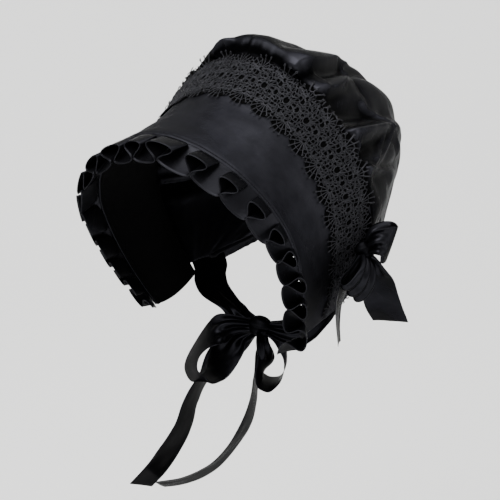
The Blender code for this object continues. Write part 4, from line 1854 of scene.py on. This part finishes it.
@dataclass
class SideBow:
    """The bow sewn to the wearer's left, over the lower end of the lace."""

    shell: Shell
    size: Array = field(default_factory=lambda: np.array([7.0, 8.0, 8.0]))
    at: float = 0.705
    along: float = 0.90
    stand: float = 2.15
    tilt: float = -25.0
    finish: Satin = Satin(
        "bow_ribbon_satin_cloth",
        deep="#161618",
        worn_and_sheen="#222226",
        edge="#2c2c2e",
        roughness=0.30,
        creases=0.0002,
        selvedge=16.0,
    )
    # A darker copy of the ribbon's satin: painted shade in the knot's wraps, on rougher crumpled cloth.
    knot_shaded_finish: Satin = Satin(
        "side_knot_satin_cloth", deep="#0c0c0d", worn_and_sheen="#131316", roughness=0.42, creases=0.0006
    )
    upper: tuple[Row, ...] = (
        Row(130, 37, 92, 27, -76, 24),
        Row(135, 42, 91, 180, -80),
        Row(134, 51, 90, 180, -70),
        Row(128, 55, 92, 180, -80),
        Row(122, 48, 93, 27, -76, 24),
    )
    lower: tuple[Row, ...] = (
        Row(125, 31, 74, 94, -26, 20),
        Row(128, 23, 65, 94, -32, 28),
        Row(126, 14, 57, 94, -36, 30),
        Row(121, 11, 55, 94, -36, 30),
        Row(117, 16, 60, 94, -32, 30),
        Row(117, 28, 71, 94, -26, 22),
    )
    tail_back: tuple[Row, ...] = (
        Row(121, 45, 74, -30, 17, 24),
        Row(120, 51, 61, -10, 17),
        Row(117, 60, 45, 12, 8),
        Row(115, 70, 29, 20, 5),
        Row(114, 82, 14, 14, 3),
    )
    tail_front: tuple[Row, ...] = (
        Row(113, 27, 71, 108, -25, 16),
        Row(111, 20, 61, 113, -19, 31),
        Row(107, 17, 44, 116, -18),
        Row(106, 17, 27, 119, -17),
        Row(107, 18, 8, 121, -17),
    )

    def centre(self) -> Array:
        """Where the knot sits, just clear of the lace.

        Returns:
            The knot's middle.
        """
        nearby = np.array([-0.01, 0, 0.01])
        patch = self.shell.brim_grid(self.at + nearby, self.along + nearby)
        normal = normals_of(patch, BRIM_CENTRE)[1, 1]
        return patch[1, 1] + normal * (self.stand + 1 / np.linalg.norm(normal / self.size))

    def make(self) -> None:
        """Builds the knot, two loops and two tails."""
        knot = Knot("side_knot", "side_bow_knot", self.centre(), self.size, tilt=self.tilt)
        knot.make(self.knot_shaded_finish.make(), Slot.SIDE_BOW)
        ribbons = (
            Length("side_loop_upper", "side_bow_loop_upper", self.upper, Ends.BOTH),
            Length("side_loop_lower", "side_bow_loop_lower", self.lower, Ends.BOTH),
            Length("side_tail_back", "side_bow_tail_back", self.tail_back, Ends.FIRST),
            Length("side_tail_front", "side_bow_tail_front", self.tail_front, Ends.FIRST),
        )
        knot.hold(ribbons, self.finish.make(), Slot.SIDE_BOW, seed=11)


@dataclass
class Studio:
    """The pale floor, the soft lights and the camera at the photograph's angle."""

    azimuth: float = 38.98
    elevation: float = 16.68
    distance: float = 1.6
    lens: float = 135.5
    shift: tuple[float, float] = (0.0513, 0.1688)
    aim: tuple[float, float, float] = (0.0, -0.080, -0.240)
    floor_drop: float = 0.62
    floor_front: float = -3.0
    floor_side: float = 5.0
    backdrop: float = 1.5
    backdrop_bend: float = 0.8
    backdrop_height: float = 5.0
    light_aim: float = -0.15
    air: float = 0.75
    paint: MattePaint = MattePaint("studio_floor_paint")

    def directions(self) -> tuple[Array, Array]:
        """The way that the camera looks.

        Returns:
            The camera's right and backward directions.
        """
        turn, rise = radians(self.azimuth), radians(self.elevation)
        back = np.array([sin(turn) * cos(rise), -cos(turn) * cos(rise), sin(rise)])
        return np.array([cos(turn), sin(turn), 0.0]), back

    def camera(self) -> None:
        """Places the camera."""
        right, back = self.directions()
        data = bpy.data.cameras.new("camera")
        data.lens = self.lens
        data.sensor_width = 36.0
        data.shift_x, data.shift_y = self.shift
        item = new_object("camera", data)
        turn_object(item, np.array(self.aim) + back * self.distance, right, back)
        bpy.context.scene.camera = item

    def floor(self) -> None:
        """Builds the floor, which curves up behind."""
        right, back = self.directions()
        away = -unit(back * [1, 1, 0])
        bend = self.backdrop_bend
        profile = [(self.floor_front, 0.0), (self.backdrop, 0.0)]
        for angle in np.linspace(0, pi / 2, 25)[1:]:
            profile.append((self.backdrop + sin(angle) * bend, bend - bend * cos(angle)))
        profile.append((self.backdrop + bend, self.backdrop_height))
        line = np.array([away * far + np.array([0, 0, high - self.floor_drop]) for far, high in profile])
        grid = np.stack([line + right * side for side in (-self.floor_side, self.floor_side)], 1)
        item = mesh_object("studio_floor", grid.reshape(-1, 3) / MM + HEAD_SEAT, grid_faces(*grid.shape[:2]))
        item.data.materials.append(self.paint.make())

    def light(self, name: str, place: tuple[float, float, float], size: float, power: float) -> None:
        """Adds a soft square light.

        Args:
            name: its name.
            place: where it stands, as right, up and towards the camera, in metres.
            size: its side in metres.
            power: its power in watts.
        """
        right, back = self.directions()
        level = np.array([0.0, 0.0, 1.0])
        offset = right * place[0] + level * place[1] + unit(back * [1, 1, 0]) * place[2]
        data = bpy.data.lights.new(name, "AREA")
        data.shape = "SQUARE"
        data.size = size
        data.energy = power
        away = unit(offset)
        spot = level * self.light_aim + offset
        turn_object(new_object(name, data), spot, unit(np.cross(level, away)), away)

    def make(self) -> None:
        """Builds the studio."""
        self.camera()
        self.floor()
        self.light("key_light", (-1.6, 2.4, 1.4), 3.0, 150.0)
        self.light("top_light", (0.4, 3.0, -0.6), 3.2, 70.0)
        self.light("fill_light", (2.8, 0.8, 1.2), 2.0, 20.0)
        world = bpy.data.worlds.new("studio_air")
        bpy.context.scene.world = world
        world.use_nodes = True
        ground = world.node_tree.nodes["Background"]
        ground.inputs["Color"].default_value = linear("#ffffff")
        ground.inputs["Strength"].default_value = self.air


def main() -> None:
    """Builds every piece and the studio."""
    logging.basicConfig(level=logging.INFO, format="%(message)s")
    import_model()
    shell = Shell()
    Studio().make()
    brim = Brim(shell)
    cover = brim.make()
    stitches = brim.stitches()
    band = Lace(shell)
    lace = band.make()
    net = band.net()
    Frill(shell).make()
    crown = Crown(shell)
    crown.make()
    NapeCasing(crown).make()
    SideBow(shell).make()
    Ties().make()


if __name__ == "__main__":
    main()
